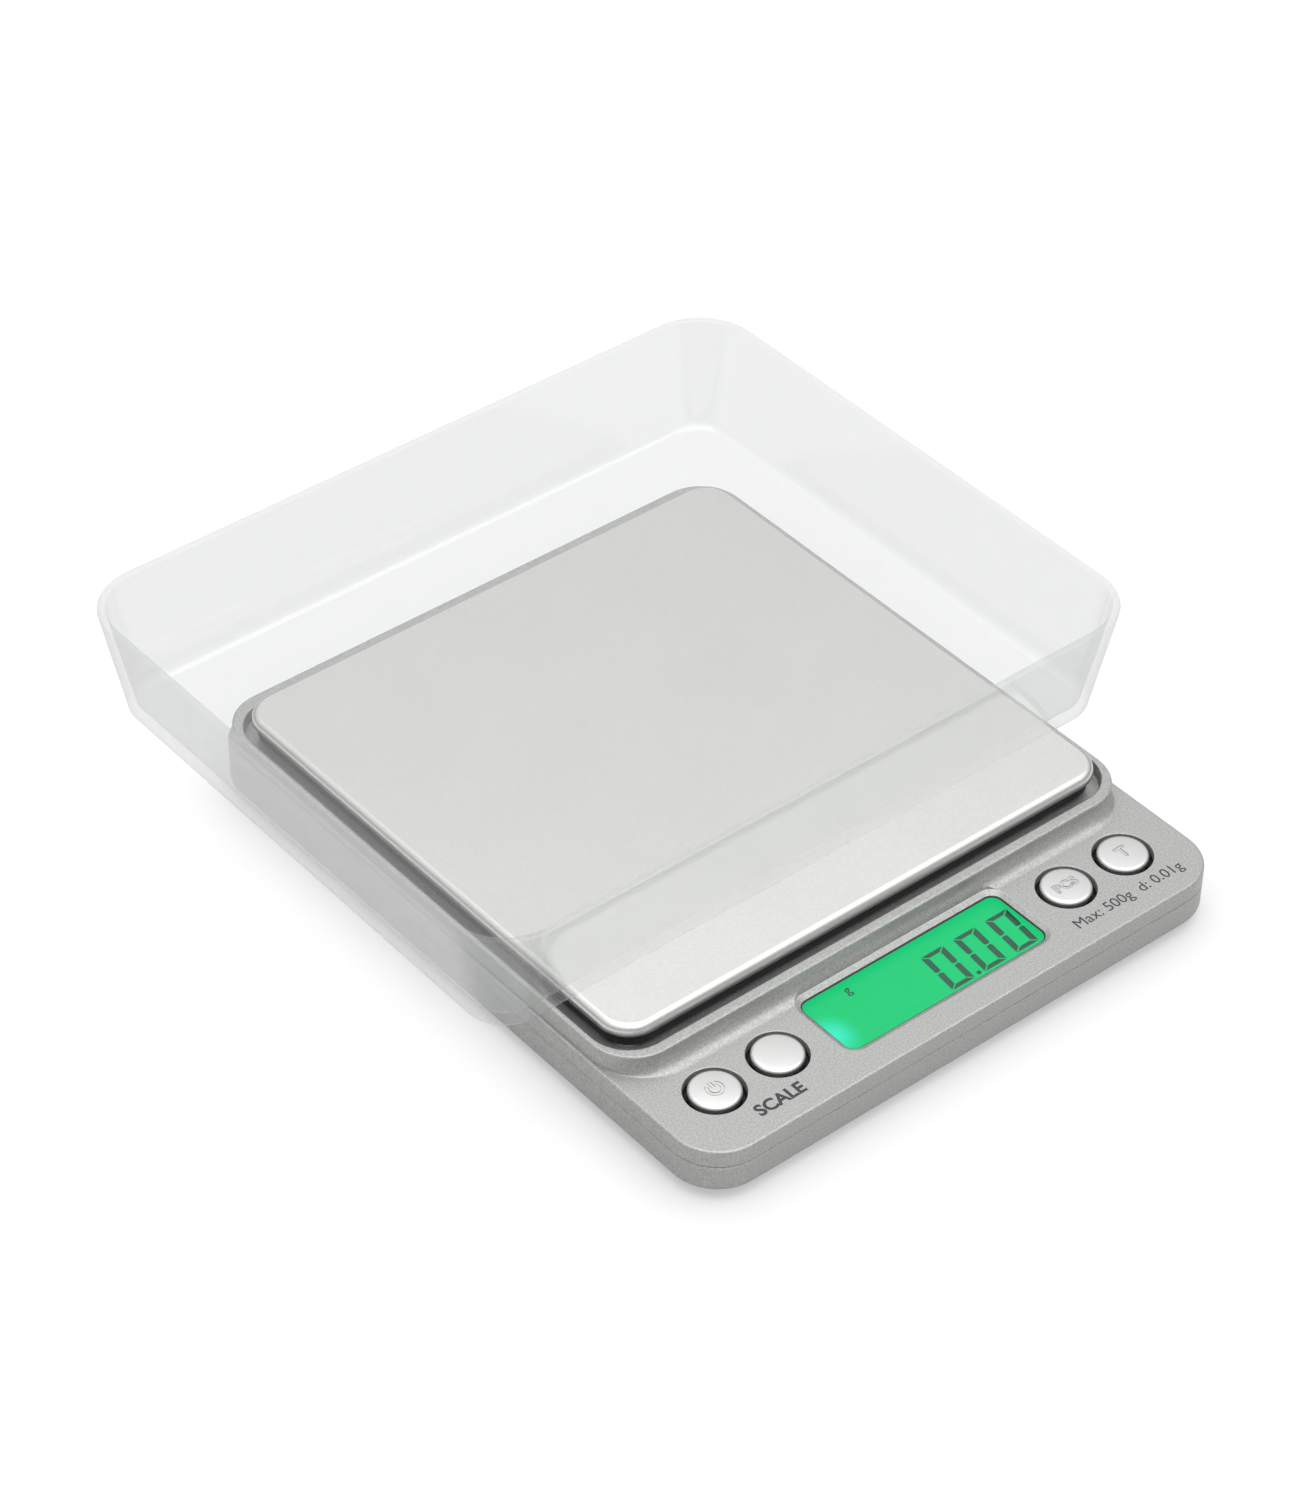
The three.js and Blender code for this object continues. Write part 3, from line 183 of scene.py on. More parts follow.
class PlatformSizes(bpy.types.PropertyGroup):
    sheet: length("Sheet", "Thickness of the steel", 0.0006)
    bend: length("Bend", "Outer radius where the steel turns down", 0.0012)


class TraySizes(bpy.types.PropertyGroup):
    wall: length("Wall", "Thickness of wall and floor", 0.0013)
    corner: length("Corner", "Corner radius at the rim", 0.0108)
    draft: length("Draft", "Wall's lean from rim to floor", 0.0035)
    foot: length("Foot", "Rounding where the wall meets the floor", 0.0016)
    rim: length("Rim", "Rounding along the rim", 0.0003)


class ButtonSizes(bpy.types.PropertyGroup):
    edge: length("Edge", "Rounding round the button's top", 0.00055)
    dome: length("Dome", "Rise of the top from edge to middle", 0.00012)
    relief: length("Relief", "Depth of the groove round the legend", 0.00018)


class DisplaySizes(bpy.types.PropertyGroup):
    digit_height: length("Digit height", "Height of a digit", 0.0084)
    digit_width: length("Digit width", "Width of a digit", 0.0046)
    digit_pitch: length("Digit pitch", "From one digit to the next", 0.0067)
    stroke: length("Stroke", "Width of an upright bar", 0.0011)
    slant: FloatProperty(
        name="Slant", description="Lean of the digits", default=math.radians(6),
        subtype="ANGLE", unit="ROTATION",
    )
    reading: StringProperty(
        name="Reading", description="Figures and point that the display shows", default="0.00",
    )


class FinishColours(bpy.types.PropertyGroup):
    paint: colour("Silver paint", "Housing", (0.40, 0.405, 0.395))
    steel: colour("Steel", "Platform", (0.73, 0.725, 0.71))
    chrome: colour("Chrome", "Buttons", (0.72, 0.725, 0.715))
    clear: colour("Clear plastic", "Tray", (0.93, 0.94, 0.935))
    ink: colour("Ink", "Print on the panel", (0.03, 0.032, 0.034))
    lit_green: colour("Display green", "Backlit glass", (0.012, 0.62, 0.2))
    segment: colour("Segment", "Dark figures of the display", (0.009, 0.07, 0.04))


class StudioSettings(bpy.types.PropertyGroup):
    floor_size: length("Floor", "Side of the floor", 8.0, high=50)
    sky: FloatProperty(name="Sky", description="Strength of the surroundings", default=0.92, min=0)
    softbox: FloatProperty(
        name="Softbox", description="Power of the overhead light", default=6.8, min=0, unit="POWER",
    )
    lens: FloatProperty(name="Lens", description="Focal length in millimetres", default=102.87, min=1)


GROUPS = {
    "gram_scale_housing": HousingSizes,
    "gram_scale_platform": PlatformSizes,
    "gram_scale_tray": TraySizes,
    "gram_scale_button": ButtonSizes,
    "gram_scale_display": DisplaySizes,
    "gram_scale_finish": FinishColours,
    "gram_scale_studio": StudioSettings,
}


# ---------------------------------------- shaping, in millimetres

EDGE_STEPS = 5
ROUND_STEPS = 64
MERGE_DISTANCE = 1e-4
SPREAD = 20


def ring(bm, x0, x1, y0, y1, z, front_r, back_r=None, steps=12):
    """A flat rounded rectangle's edges at height z."""
    corners = bmesh.ops.create_grid(bm, x_segments=1, y_segments=1, size=0.5)["verts"]
    bmesh.ops.scale(bm, vec=(x1 - x0, y1 - y0, 1), verts=corners)
    bmesh.ops.translate(bm, vec=((x0 + x1) / 2, (y0 + y1) / 2, z), verts=corners)
    middle = (y0 + y1) / 2
    front = [v for v in corners if v.co.y < middle]
    back = [v for v in corners if v.co.y > middle]
    for pair, radius in ((front, front_r), (back, back_r or front_r)):
        cut = bmesh.ops.bevel(
            bm, geom=pair, affect="VERTICES", offset=radius, offset_type="OFFSET",
            segments=steps, profile=0.5, material=-1,
        )
    face = cut["verts"][0].link_faces[0]
    edges = list(face.edges)
    bmesh.ops.delete(bm, geom=[face], context="FACES_ONLY")
    return edges


def hoop(bm, x, y, z, radius, steps=ROUND_STEPS):
    """A flat circle's edges at height z."""
    made = bmesh.ops.create_circle(
        bm, cap_ends=False, radius=radius, segments=steps, matrix=Matrix.Translation((x, y, z)),
    )
    return list({e for v in made["verts"] for e in v.link_edges})


def skin(bm, rings):
    """Walls from each ring to the next, closed at both ends.

    The rings stand far apart while they are joined, so that each pair is matched corner to corner.
    """
    stand = []
    for i, edges in enumerate(rings):
        verts = list({v for e in edges for v in e.verts})
        lift = i * SPREAD - verts[0].co.z
        bmesh.ops.translate(bm, vec=(0, 0, lift), verts=verts)
        stand.append((verts, lift))
    for lower, upper in zip(rings, rings[1:]):
        bmesh.ops.bridge_loops(bm, edges=lower + upper)
    for end in (rings[0], rings[-1]):
        bmesh.ops.contextual_create(bm, geom=end)
    for verts, lift in stand:
        bmesh.ops.translate(bm, vec=(0, 0, -lift), verts=verts)


def rounded_top(z, radius, inset=0.0, steps=EDGE_STEPS):
    """Levels (z, inset) round an upper edge."""
    turns = [math.pi / 2 * i / steps for i in range(steps + 1)]
    return [(z - radius + radius * math.sin(a), inset + radius * (1 - math.cos(a))) for a in turns]


def rounded_foot(z, radius, inset=0.0, steps=EDGE_STEPS):
    """Levels (z, inset) round a lower edge."""
    return [(2 * z - level, by) for level, by in reversed(rounded_top(z, radius, inset, steps))]


def stacked(bm, outline, levels, steps=12):
    """A closed rounded block. outline is x0, x1, y0, y1, radius, and levels are (z, inset)."""
    x0, x1, y0, y1, r = outline
    rings = [
        ring(bm, x0 + by, x1 - by, y0 + by, y1 - by, z, max(r - by, 0.02), steps=steps)
        for z, by in levels
    ]
    skin(bm, rings)


def turned(bm, x, y, profile, steps=ROUND_STEPS):
    """A closed round block from (radius, z) points."""
    skin(bm, [hoop(bm, x, y, z, r, steps) for r, z in profile])


def block(bm, x0, x1, y0, y1, z0, z1, soft=0.15):
    """A closed block with slightly rounded upright edges."""
    stacked(bm, (x0, x1, y0, y1, soft), [(z0, 0), (z1, 0)], steps=2)


def shape(*makers):
    """A new bmesh with each maker's closed shape in it."""
    parts = []
    for maker in makers:
        part = bmesh.new()
        maker(part)
        tidy(part)
        parts.append(part)
    return merged(*parts)


def tidy(bm):
    """Merges doubles and turns every face outwards."""
    bmesh.ops.remove_doubles(bm, verts=bm.verts, dist=MERGE_DISTANCE)
    bmesh.ops.recalc_face_normals(bm, faces=bm.faces)
    if bm.calc_volume(signed=True) < 0:
        bmesh.ops.reverse_faces(bm, faces=bm.faces)


def helper_object(bm):
    mesh = bpy.data.meshes.new("helper")
    bm.to_mesh(mesh)
    made = bpy.data.objects.new("helper", mesh)
    bpy.context.scene.collection.objects.link(made)
    return made


def drop(*objects):
    for made in objects:
        data = made.data
        bpy.data.objects.remove(made)
        (bpy.data.meshes if isinstance(data, bpy.types.Mesh) else bpy.data.curves).remove(data)


def carve(bm, operation, *tools):
    """Adds each tool's shape to bm, for UNION, or cuts it out, for DIFFERENCE. The tools are used up."""
    for tool in tools:
        host, other = helper_object(bm), helper_object(tool)
        modifier = host.modifiers.new("carve", "BOOLEAN")
        modifier.operation = operation
        modifier.solver = "EXACT"
        modifier.object = other
        ready = host.evaluated_get(bpy.context.evaluated_depsgraph_get())
        baked = bpy.data.meshes.new_from_object(ready)
        bm.clear()
        bm.from_mesh(baked)
        bpy.data.meshes.remove(baked)
        drop(host, other)
        tool.free()
    return bm


def lettering(text, size, depth, x=0.0, y=0.0, z=0.0, swell=0.0):
    """Raised text centred at x, y, from z up to z + depth, its strokes swollen by swell, as a bmesh."""
    curve = bpy.data.curves.new("lettering", "FONT")
    curve.body = text
    curve.size = size
    curve.extrude = depth / 2
    curve.align_x = "CENTER"
    curve.align_y = "CENTER"
    curve.resolution_u = 4
    curve.offset = swell
    words = bpy.data.objects.new("lettering", curve)
    bpy.context.scene.collection.objects.link(words)
    mesh = bpy.data.meshes.new_from_object(words.evaluated_get(bpy.context.evaluated_depsgraph_get()))
    bm = bmesh.new()
    bm.from_mesh(mesh)
    bpy.data.meshes.remove(mesh)
    drop(words)
    tidy(bm)
    bmesh.ops.translate(bm, vec=(x, y, z + depth / 2), verts=bm.verts)
    return bm


def merged(*parts):
    """One bmesh that holds every part, which are used up."""
    whole = bmesh.new()
    for part in parts:
        mesh = bpy.data.meshes.new("merged")
        part.to_mesh(mesh)
        whole.from_mesh(mesh)
        bpy.data.meshes.remove(mesh)
        part.free()
    return whole


def finished(name, bm, body, nodes, material, sharp=38):
    """Puts a shape in its place in the frame as a piece that rides on a body."""
    bmesh.ops.transform(bm, matrix=TO_FRAME, verts=bm.verts)
    mesh = bpy.data.meshes.new(name)
    bm.to_mesh(mesh)
    bm.free()
    mesh.shade_smooth()
    mesh.set_sharp_from_angle(angle=math.radians(sharp))
    mesh.materials.append(material)
    piece = bpy.data.objects.new(name, mesh)
    bpy.context.scene.collection.objects.link(piece)
    shading = piece.modifiers.new("Even shading", "WEIGHTED_NORMAL")
    shading.keep_sharp = True
    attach(piece, body)
    if nodes:
        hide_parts(*nodes)
    return piece


# ---------------------------------------- finishes


FRESNEL_POWER = 5.0
FRESNEL_LOW = 0.04


class Finish:
    """A procedural material on Object coordinates, in metres."""

    def __init__(self, name, base, roughness, metallic=0.0):
        self.material = bpy.data.materials.new(name)
        self.material.use_nodes = True
        self.tree = self.material.node_tree
        self.shader = self.tree.nodes["Principled BSDF"]
        self.output = self.tree.nodes["Material Output"]
        self.base = base
        self.set("Base Color", (*base, 1))
        self.set("Roughness", roughness)
        self.set("Metallic", metallic)
        self.place = self.node("ShaderNodeTexCoord").outputs["Object"]

    def set(self, socket, value):
        self.shader.inputs[socket].default_value = value

    def node(self, kind, **values):
        made = self.tree.nodes.new(kind)
        for key, value in values.items():
            setattr(made, key, value)
        return made

    def link(self, source, target):
        self.tree.links.new(source, target)

    def noise(self, scale, detail=2.0, stretch=(1, 1, 1)):
        made = self.node("ShaderNodeTexNoise")
        made.inputs["Scale"].default_value = scale
        made.inputs["Detail"].default_value = detail
        spot = self.place
        if stretch != (1, 1, 1):
            mapping = self.node("ShaderNodeMapping")
            mapping.inputs["Scale"].default_value = stretch
            self.link(self.place, mapping.inputs["Vector"])
            spot = mapping.outputs["Vector"]
        self.link(spot, made.inputs["Vector"])
        return made.outputs["Fac"]

    def ramp(self, source, low, high, start=0.35, end=0.65):
        """Turns a 0 to 1 pattern into numbers from low to high."""
        made = self.node("ShaderNodeMapRange")
        made.inputs["From Min"].default_value = start
        made.inputs["From Max"].default_value = end
        made.inputs["To Min"].default_value = low
        made.inputs["To Max"].default_value = high
        self.link(source, made.inputs["Value"])
        return made.outputs["Result"]

    def tint(self, source, darker, lighter, start=0.35, end=0.65):
        """The base colour runs from darker to lighter times its own value along a pattern."""
        made = self.node("ShaderNodeValToRGB")
        first, last = made.color_ramp.elements
        first.position, last.position = start, end
        first.color = (*[c * darker for c in self.base], 1)
        last.color = (*[min(c * lighter, 1) for c in self.base], 1)
        self.link(source, made.inputs["Fac"])
        self.link(made.outputs["Color"], self.shader.inputs["Base Color"])

    def gloss(self, source, low, high):
        self.link(self.ramp(source, low, high), self.shader.inputs["Roughness"])

    def bump(self, source, height, strength=1.0):
        made = self.node("ShaderNodeBump")
        made.inputs["Strength"].default_value = strength
        made.inputs["Distance"].default_value = height
        self.link(source, made.inputs["Height"])
        self.link(made.outputs["Normal"], self.shader.inputs["Normal"])

    def see_through(self, tint, haze, edge_haze, power, gloss=1.0):
        """Shows what is behind, under a pale haze that thickens at the edges, and a polished surface.

        Light that falls through it isn't dimmed.
        """
        facing = self.node("ShaderNodeLayerWeight")
        facing.inputs["Blend"].default_value = 0.5
        clear = self.node("ShaderNodeBsdfTransparent")
        clear.inputs["Color"].default_value = (*tint, 1)
        polish = self.node("ShaderNodeBsdfAnisotropic")
        polish.inputs["Roughness"].default_value = 0.06
        below = clear.outputs[0]
        layers = (
            (self.shader.outputs[0], power, haze, edge_haze),
            (polish.outputs[0], FRESNEL_POWER, FRESNEL_LOW * gloss, gloss),
        )
        for shader, exponent, low, high in layers:
            bend = self.node("ShaderNodeMath", operation="POWER")
            bend.inputs[1].default_value = exponent
            self.link(facing.outputs["Facing"], bend.inputs[0])
            below = self.blend(self.ramp(bend.outputs[0], low, high, 0, 1), below, shader)
        seen = self.node("ShaderNodeLightPath")
        open_way = self.node("ShaderNodeBsdfTransparent")
        below = self.blend(seen.outputs["Is Camera Ray"], open_way.outputs[0], below)
        self.link(below, self.output.inputs["Surface"])

    def blend(self, share, first, second):
        """A mix of two shaders by a pattern."""
        mix = self.node("ShaderNodeMixShader")
        self.link(share, mix.inputs[0])
        self.link(first, mix.inputs[1])
        self.link(second, mix.inputs[2])
        return mix.outputs[0]


MADE = {}


def once(maker):
    """Makes each finish only once."""

    def get():
        if maker.__name__ not in MADE:
            MADE[maker.__name__] = maker()
        return MADE[maker.__name__]

    return get


def colours():
    return bpy.context.scene.gram_scale_finish


@once
def silver_paint():
    f = Finish("Silver paint", colours().paint, 0.42, 0.5)
    flakes = f.noise(3200, 3)
    f.tint(flakes, 0.8, 1.2, 0.3, 0.7)
    f.gloss(f.noise(900, 2), 0.34, 0.42)
    f.bump(flakes, 0.000012, 0.4)
    return f.material


@once
def satin_steel():
    f = Finish("Satin stainless steel", colours().steel, 0.3, 1.0)
    grain = f.noise(2600, 4, (1, 1, 1))
    f.tint(grain, 0.955, 1.04, 0.3, 0.7)
    f.gloss(f.noise(60, 3), 0.29, 0.33)
    f.bump(grain, 0.000004, 0.3)
    return f.material


@once
def satin_chrome():
    """Plating on what stands over the panel's hole, and near-black below it: unplated plastic and painted
    shade of the gap round the button.
    """
    f = Finish("Satin chrome plating", colours().chrome, 0.24, 1.0)
    height = f.node("ShaderNodeSeparateXYZ")
    f.link(f.place, height.inputs[0])
    # near-black below the panel's hole: unplated plastic and painted shade of the gap round the button
    plated = f.ramp(height.outputs["Z"], 0, 1, (PANEL_TOP - 1.2) * MM, (PANEL_TOP - 0.9) * MM)
    f.tint(plated, 0.03, 1.0, 0, 1)
    f.gloss(f.noise(400, 2), 0.22, 0.27)
    return f.material


@once
def clear_styrene():
    f = Finish("Clear polystyrene", colours().clear, 0.25)
    f.tint(f.noise(25, 2), 0.97, 1.0)
    f.gloss(f.noise(140, 3), 0.2, 0.3)
    f.see_through((0.923, 0.93, 0.926), 0.02, 0.42, 3.0)
    return f.material


@once
def clear_acrylic():
    f = Finish("Clear acrylic", (0.8, 0.8, 0.8), 0.2)
    f.gloss(f.noise(300, 2), 0.15, 0.25)
    f.see_through((0.98, 0.985, 0.98), 0.0, 0.02, 3.0, 0.1)
    return f.material


@once
def panel_ink():
    f = Finish("Panel ink", colours().ink, 0.5)
    f.tint(f.noise(4000, 2), 0.8, 1.2)
    return f.material


@once
def black_plastic():
    f = Finish("Moulded black plastic", (0.018, 0.018, 0.019), 0.5)
    grain = f.noise(2200, 3)
    f.tint(grain, 0.85, 1.2)
    f.gloss(grain, 0.42, 0.6)
    f.bump(grain, 0.00002, 0.4)
    return f.material


@once
def foot_rubber():
    f = Finish("Moulded rubber", (0.028, 0.028, 0.028), 0.85)
    grain = f.noise(1800, 4)
    f.tint(grain, 0.8, 1.25)
    f.bump(grain, 0.00003, 0.5)
    return f.material


@once
def zinc_screw():
    f = Finish("Zinc-plated screw", (0.6, 0.61, 0.62), 0.3, 1.0)
    f.tint(f.noise(1500, 3), 0.9, 1.05)
    f.gloss(f.noise(900, 2), 0.24, 0.38)
    return f.material


@once
def zinc_plate():
    f = Finish("Zinc-plated sheet", (0.5, 0.51, 0.53), 0.4, 1.0)
    f.tint(f.noise(350, 4), 0.85, 1.1)
    f.gloss(f.noise(600, 3), 0.34, 0.5)
    return f.material


@once
def cell_aluminium():
    f = Finish("Machined aluminium", (0.63, 0.64, 0.65), 0.35, 1.0)
    lines = f.noise(500, 2, (0.04, 1, 1))
    f.tint(lines, 0.93, 1.05)
    f.gloss(lines, 0.28, 0.42)
    f.bump(lines, 0.00001, 0.3)
    return f.material


@once
def gauge_silicone():
    f = Finish("White silicone", (0.76, 0.74, 0.7), 0.45)
    lumps = f.noise(400, 2)
    f.tint(lumps, 0.95, 1.03)
    f.bump(lumps, 0.00008, 0.5)
    return f.material


@once
def battery_jacket():
    f = Finish("Battery jacket", (0.03, 0.12, 0.2), 0.3)
    f.tint(f.noise(1200, 2), 0.9, 1.1)
    f.gloss(f.noise(800, 2), 0.25, 0.35)
    return f.material


@once
def nickel_spring():
    f = Finish("Nickel-plated spring", (0.66, 0.62, 0.55), 0.25, 1.0)
    f.tint(f.noise(1400, 2), 0.92, 1.04)
    f.gloss(f.noise(1400, 2), 0.18, 0.32)
    return f.material


@once
def board_mask():
    f = Finish("Circuit board", (0.02, 0.13, 0.05), 0.35)
    f.tint(f.noise(700, 3), 0.8, 1.25)
    f.gloss(f.noise(500, 2), 0.28, 0.42)
    return f.material


@once
def black_resin():
    f = Finish("Black epoxy", (0.012, 0.012, 0.013), 0.22)
    f.tint(f.noise(500, 2), 0.8, 1.3)
    f.gloss(f.noise(300, 2), 0.16, 0.3)
    return f.material


@once
def light_guide():
    f = Finish("Light guide", (0.7, 0.93, 0.76), 0.3)
    f.tint(f.noise(2500, 2), 0.93, 1.04)
    f.gloss(f.noise(2500, 2), 0.25, 0.4)
    return f.material


@once
def contact_rubber():
    f = Finish("Contact strip", (0.6, 0.28, 0.28), 0.6)
    f.tint(f.noise(2400, 0, (3, 0.02, 0.02)), 0.3, 1.1, 0.45, 0.5)
    return f.material


@once
def foam_pad():
    f = Finish("Adhesive pad", (0.82, 0.82, 0.79), 0.7)
    cells = f.noise(2600, 4)
    f.tint(cells, 0.9, 1.04)
    f.bump(cells, 0.00003, 0.6)
    return f.material


@once
def plunger_plastic():
    f = Finish("Plunger", (0.74, 0.71, 0.64), 0.45)
    f.tint(f.noise(1500, 2), 0.94, 1.04)
    return f.material


def lead_jacket(name, base):
    f = Finish(name, base, 0.4)
    f.tint(f.noise(900, 2), 0.85, 1.15)
    f.gloss(f.noise(900, 2), 0.34, 0.5)
    return f.material


@once
def lead_white():
    return lead_jacket("White lead", (0.74, 0.73, 0.69))


@once
def lead_red():
    return lead_jacket("Red lead", (0.45, 0.03, 0.02))


@once
def lead_black():
    return lead_jacket("Black lead", (0.02, 0.02, 0.021))


@once
def lit_glass():
    """Green glass lit from behind, brightest beside the lamp at its left edge."""
    f = Finish("Lit display glass", (0.003, 0.04, 0.015), 0.3)
    f.set("Specular IOR Level", 0.1)
    corner = TO_FRAME @ Vector((GLASS.x0 + 1.4, GLASS.y - 1.2, GLASS.z1))
    mapping = f.node("ShaderNodeMapping", vector_type="TEXTURE")
    mapping.inputs["Location"].default_value = corner
    mapping.inputs["Scale"].default_value = (0.0048, 0.0056, 0.02)
    f.link(f.place, mapping.inputs["Vector"])
    glow = f.node("ShaderNodeTexGradient", gradient_type="SPHERICAL")
    f.link(mapping.outputs["Vector"], glow.inputs["Vector"])
    ramp = f.node("ShaderNodeValToRGB")
    ramp.color_ramp.interpolation = "EASE"
    first, last = ramp.color_ramp.elements
    green = colours().lit_green
    first.color = (*green, 1)
    last.color = (0.05, 0.9, 0.62, 1)
    last.position = 0.95
    f.link(glow.outputs["Fac"], ramp.inputs["Fac"])
    f.link(ramp.outputs["Color"], f.shader.inputs["Emission Color"])
    f.set("Emission Strength", 0.95)
    return f.material


@once
def display_segment():
    f = Finish("Display segment", colours().segment, 0.4)
    f.tint(f.noise(3000, 2), 0.8, 1.3)
    return f.material


# ---------------------------------------- housings


def corner_places(node):
    """The middle of each corner's node, in millimetres."""
    return [(Box(f"{node}_{corner}").x, Box(f"{node}_{corner}").y) for corner in CORNERS]


def top_shell():
    """The panel, its rounded edge, the hollow, the raised border and the recess, as one closed block."""
    sizes = bpy.context.scene.gram_scale_housing
    edge, lip = sizes.panel_edge / MM, sizes.seam_lip / MM
    hollow, crest = sizes.fillet / MM, sizes.crest_edge / MM
    h = HOUSING
    left, right, back = h.x0 + SIDE_INSET, h.x1 - SIDE_INSET, h.y1 - SIDE_INSET
    recess_front = PLATFORM.y0 - RECESS_GAP
    front = recess_front - BORDER_FRONT + BORDER_OVERLAP
    bm = bmesh.new()
    rings = []
    for z, by in [(SEAM_TOP, lip), (SEAM_TOP + lip, 0), *rounded_top(PANEL_TOP, edge)]:
        rings.append(ring(bm, h.x0 + by, h.x1 - by, h.y0 + by, h.y1 - by, z, CORNER_R - by))
    for i in range(HOLLOW_STEPS + 1):
        turn = math.pi / 2 * i / HOLLOW_STEPS
        out = hollow * (1 - math.sin(turn))
        z = PANEL_TOP + hollow * (1 - math.cos(turn))
        nudge = HOLLOW_NUDGE * (1 - i / HOLLOW_STEPS)
        rings.append(ring(
            bm, left - nudge, right + nudge, front - out, back + nudge, z, BORDER_R + out, BORDER_R,
        ))
    for z, by in rounded_top(CREST, crest, 0, 4):
        rings.append(ring(bm, left + by, right - by, front + by, back - by, z, BORDER_R - by))
    x0, x1 = PLATFORM.x0 - RECESS_GAP, PLATFORM.x1 + RECESS_GAP
    y0, y1 = recess_front, PLATFORM.y1 + RECESS_GAP
    for z, by in reversed(rounded_top(CREST, RECESS_EDGE, 0, 4)):
        rings.append(ring(bm, x0 - by, x1 + by, y0 - by, y1 + by, z, RECESS_R + by))
    for z, by in reversed(rounded_foot(DECK_TOP, RECESS_FILLET, 0, 3)):
        rings.append(ring(bm, x0 + by, x1 - by, y0 + by, y1 - by, z, RECESS_R - by))
    skin(bm, rings)
    tidy(bm)
    return bm


def build_top_housing():
    sizes = bpy.context.scene.gram_scale_housing
    h = HOUSING
    bm = top_shell()
    stops = [
        (sx * (PLATFORM.w / 2 - STOP_INSET), PLATFORM.y + sy * (PLATFORM.d / 2 - STOP_INSET))
        for sx in (-1, 1) for sy in (-1, 1)
    ]
    stop = [
        (STOP_R, DECK_TOP - SINK), (STOP_R, DECK_TOP + STOP_HIGH - STOP_CHAMFER),
        (STOP_R - STOP_EDGE, DECK_TOP + STOP_HIGH),
    ]
    tunnel = (
        -BAY_HALF_X - BAY_WALL, BAY_HALF_X + BAY_WALL,
        BAY_Y - BAY_HALF_Y - BAY_WALL, BAY_Y + BAY_HALF_Y + BAY_WALL, 0.8,
    )
    carve(bm, "UNION", shape(
        lambda b: stacked(b, tunnel, [(DECK_UNDER + 0.3, 0), *rounded_top(TUNNEL_TOP, 0.4)], 4),
        *[lambda b, p=p: turned(b, *p, stop, 32) for p in stops],
    ))
    cell_window = (
        CELL.x0 - CELL_MARGIN, CELL.x1 + CELL_MARGIN, CELL.y0 - CELL_MARGIN, CELL.y1 + CELL_MARGIN, 1.2,
    )
    under = RECESS_GAP - DECK_MARGIN
    under_deck = (
        PLATFORM.x0 - under, PLATFORM.x1 + under, PLATFORM.y0 - under, PLATFORM.y1 + under,
        RECESS_R - DECK_MARGIN,
    )
    bay = (-BAY_HALF_X, BAY_HALF_X, BAY_Y - BAY_HALF_Y, BAY_Y + BAY_HALF_Y, 0.4)
    inside = (h.x0 + WALL, h.x1 - WALL, h.y0 + WALL, h.y1 - WALL, CORNER_R - WALL)
    bevel = sizes.window_bevel / MM
    pocket = (LENS.x0 - LENS_GAP, LENS.x1 + LENS_GAP, LENS.y0 - LENS_GAP, LENS.y1 + LENS_GAP, POCKET_R)
    back = WINDOW_BACKSET - bevel
    wide = (LENS.x0 + back, LENS.x1 - back, LENS.y0 + back, LENS.y1 - back, WINDOW_R + bevel)
    slope = [
        (LENS.z1 - PAST, bevel), (LENS.z1 + 0.25, bevel), (PANEL_TOP - 0.22, bevel * 0.42),
        (PANEL_TOP - 0.06, bevel * 0.16), (PANEL_TOP, 0), (PANEL_TOP + PAST, -0.4),
    ]
    button_hole = [
        (BUTTON_HOLE_R, PANEL_UNDER - PAST), (BUTTON_HOLE_R, PANEL_TOP - 0.22),
        (BUTTON_HOLE_R + 0.06, PANEL_TOP - 0.08), (BUTTON_HOLE_R + 0.2, PANEL_TOP),
        (BUTTON_HOLE_R + 0.3, PANEL_TOP + 0.1),
    ]
    buttons = [Box(f"button_{name}") for name in BUTTONS]
    carve(
        bm, "DIFFERENCE",
        shape(lambda b: stacked(b, inside, [(SEAM - 2, 0), (PANEL_UNDER, 0)])),
        shape(lambda b: stacked(b, under_deck, [(PANEL_UNDER - SINK, 0), (DECK_UNDER, 0)])),
        shape(lambda b: stacked(b, bay, [(DECK_UNDER - PAST, 0), (TUNNEL_TOP - 0.8, 0)], 4)),
        shape(lambda b: stacked(b, cell_window, [(DECK_UNDER - PAST, 0), (DECK_TOP + PAST, 0)], 4)),
        shape(
            lambda b: stacked(b, wide, slope, 8),
            *[lambda b, p=p: turned(b, p.x, p.y, button_hole) for p in buttons],
        ),
        shape(lambda b: stacked(b, pocket, [(PANEL_UNDER - PAST, 0), (LENS.z1, 0)], 6)),
    )
    posts = corner_places("housing_screw")
    bosses = corner_places("board_screw")
    post_top = PANEL_UNDER + 0.2
    carve(bm, "UNION", shape(
        *[lambda b, p=p: turned(b, *p, [(POST_R, SEAM_TOP), (POST_R, post_top)], 32) for p in posts],
        *[lambda b, p=p: turned(b, *p, [(BOSS_R, BOARD.z1), (BOSS_R, post_top)], 32) for p in bosses],
    ))
    bores = [
        *[(p, SCREW_SHANK_R + BORE_GAP, SEAM) for p in posts],
        *[(p, BOARD_SCREW_R + BORE_GAP, BOARD.z1 - PAST) for p in bosses],
    ]
    carve(bm, "DIFFERENCE", shape(
        *[lambda b, p=p, r=r, z=z: turned(b, *p, [(r, z), (r, PANEL_UNDER)], 24) for p, r, z in bores],
    ))
    finished("top_housing_shell", bm, "base", ["top_housing"], silver_paint(), 32)


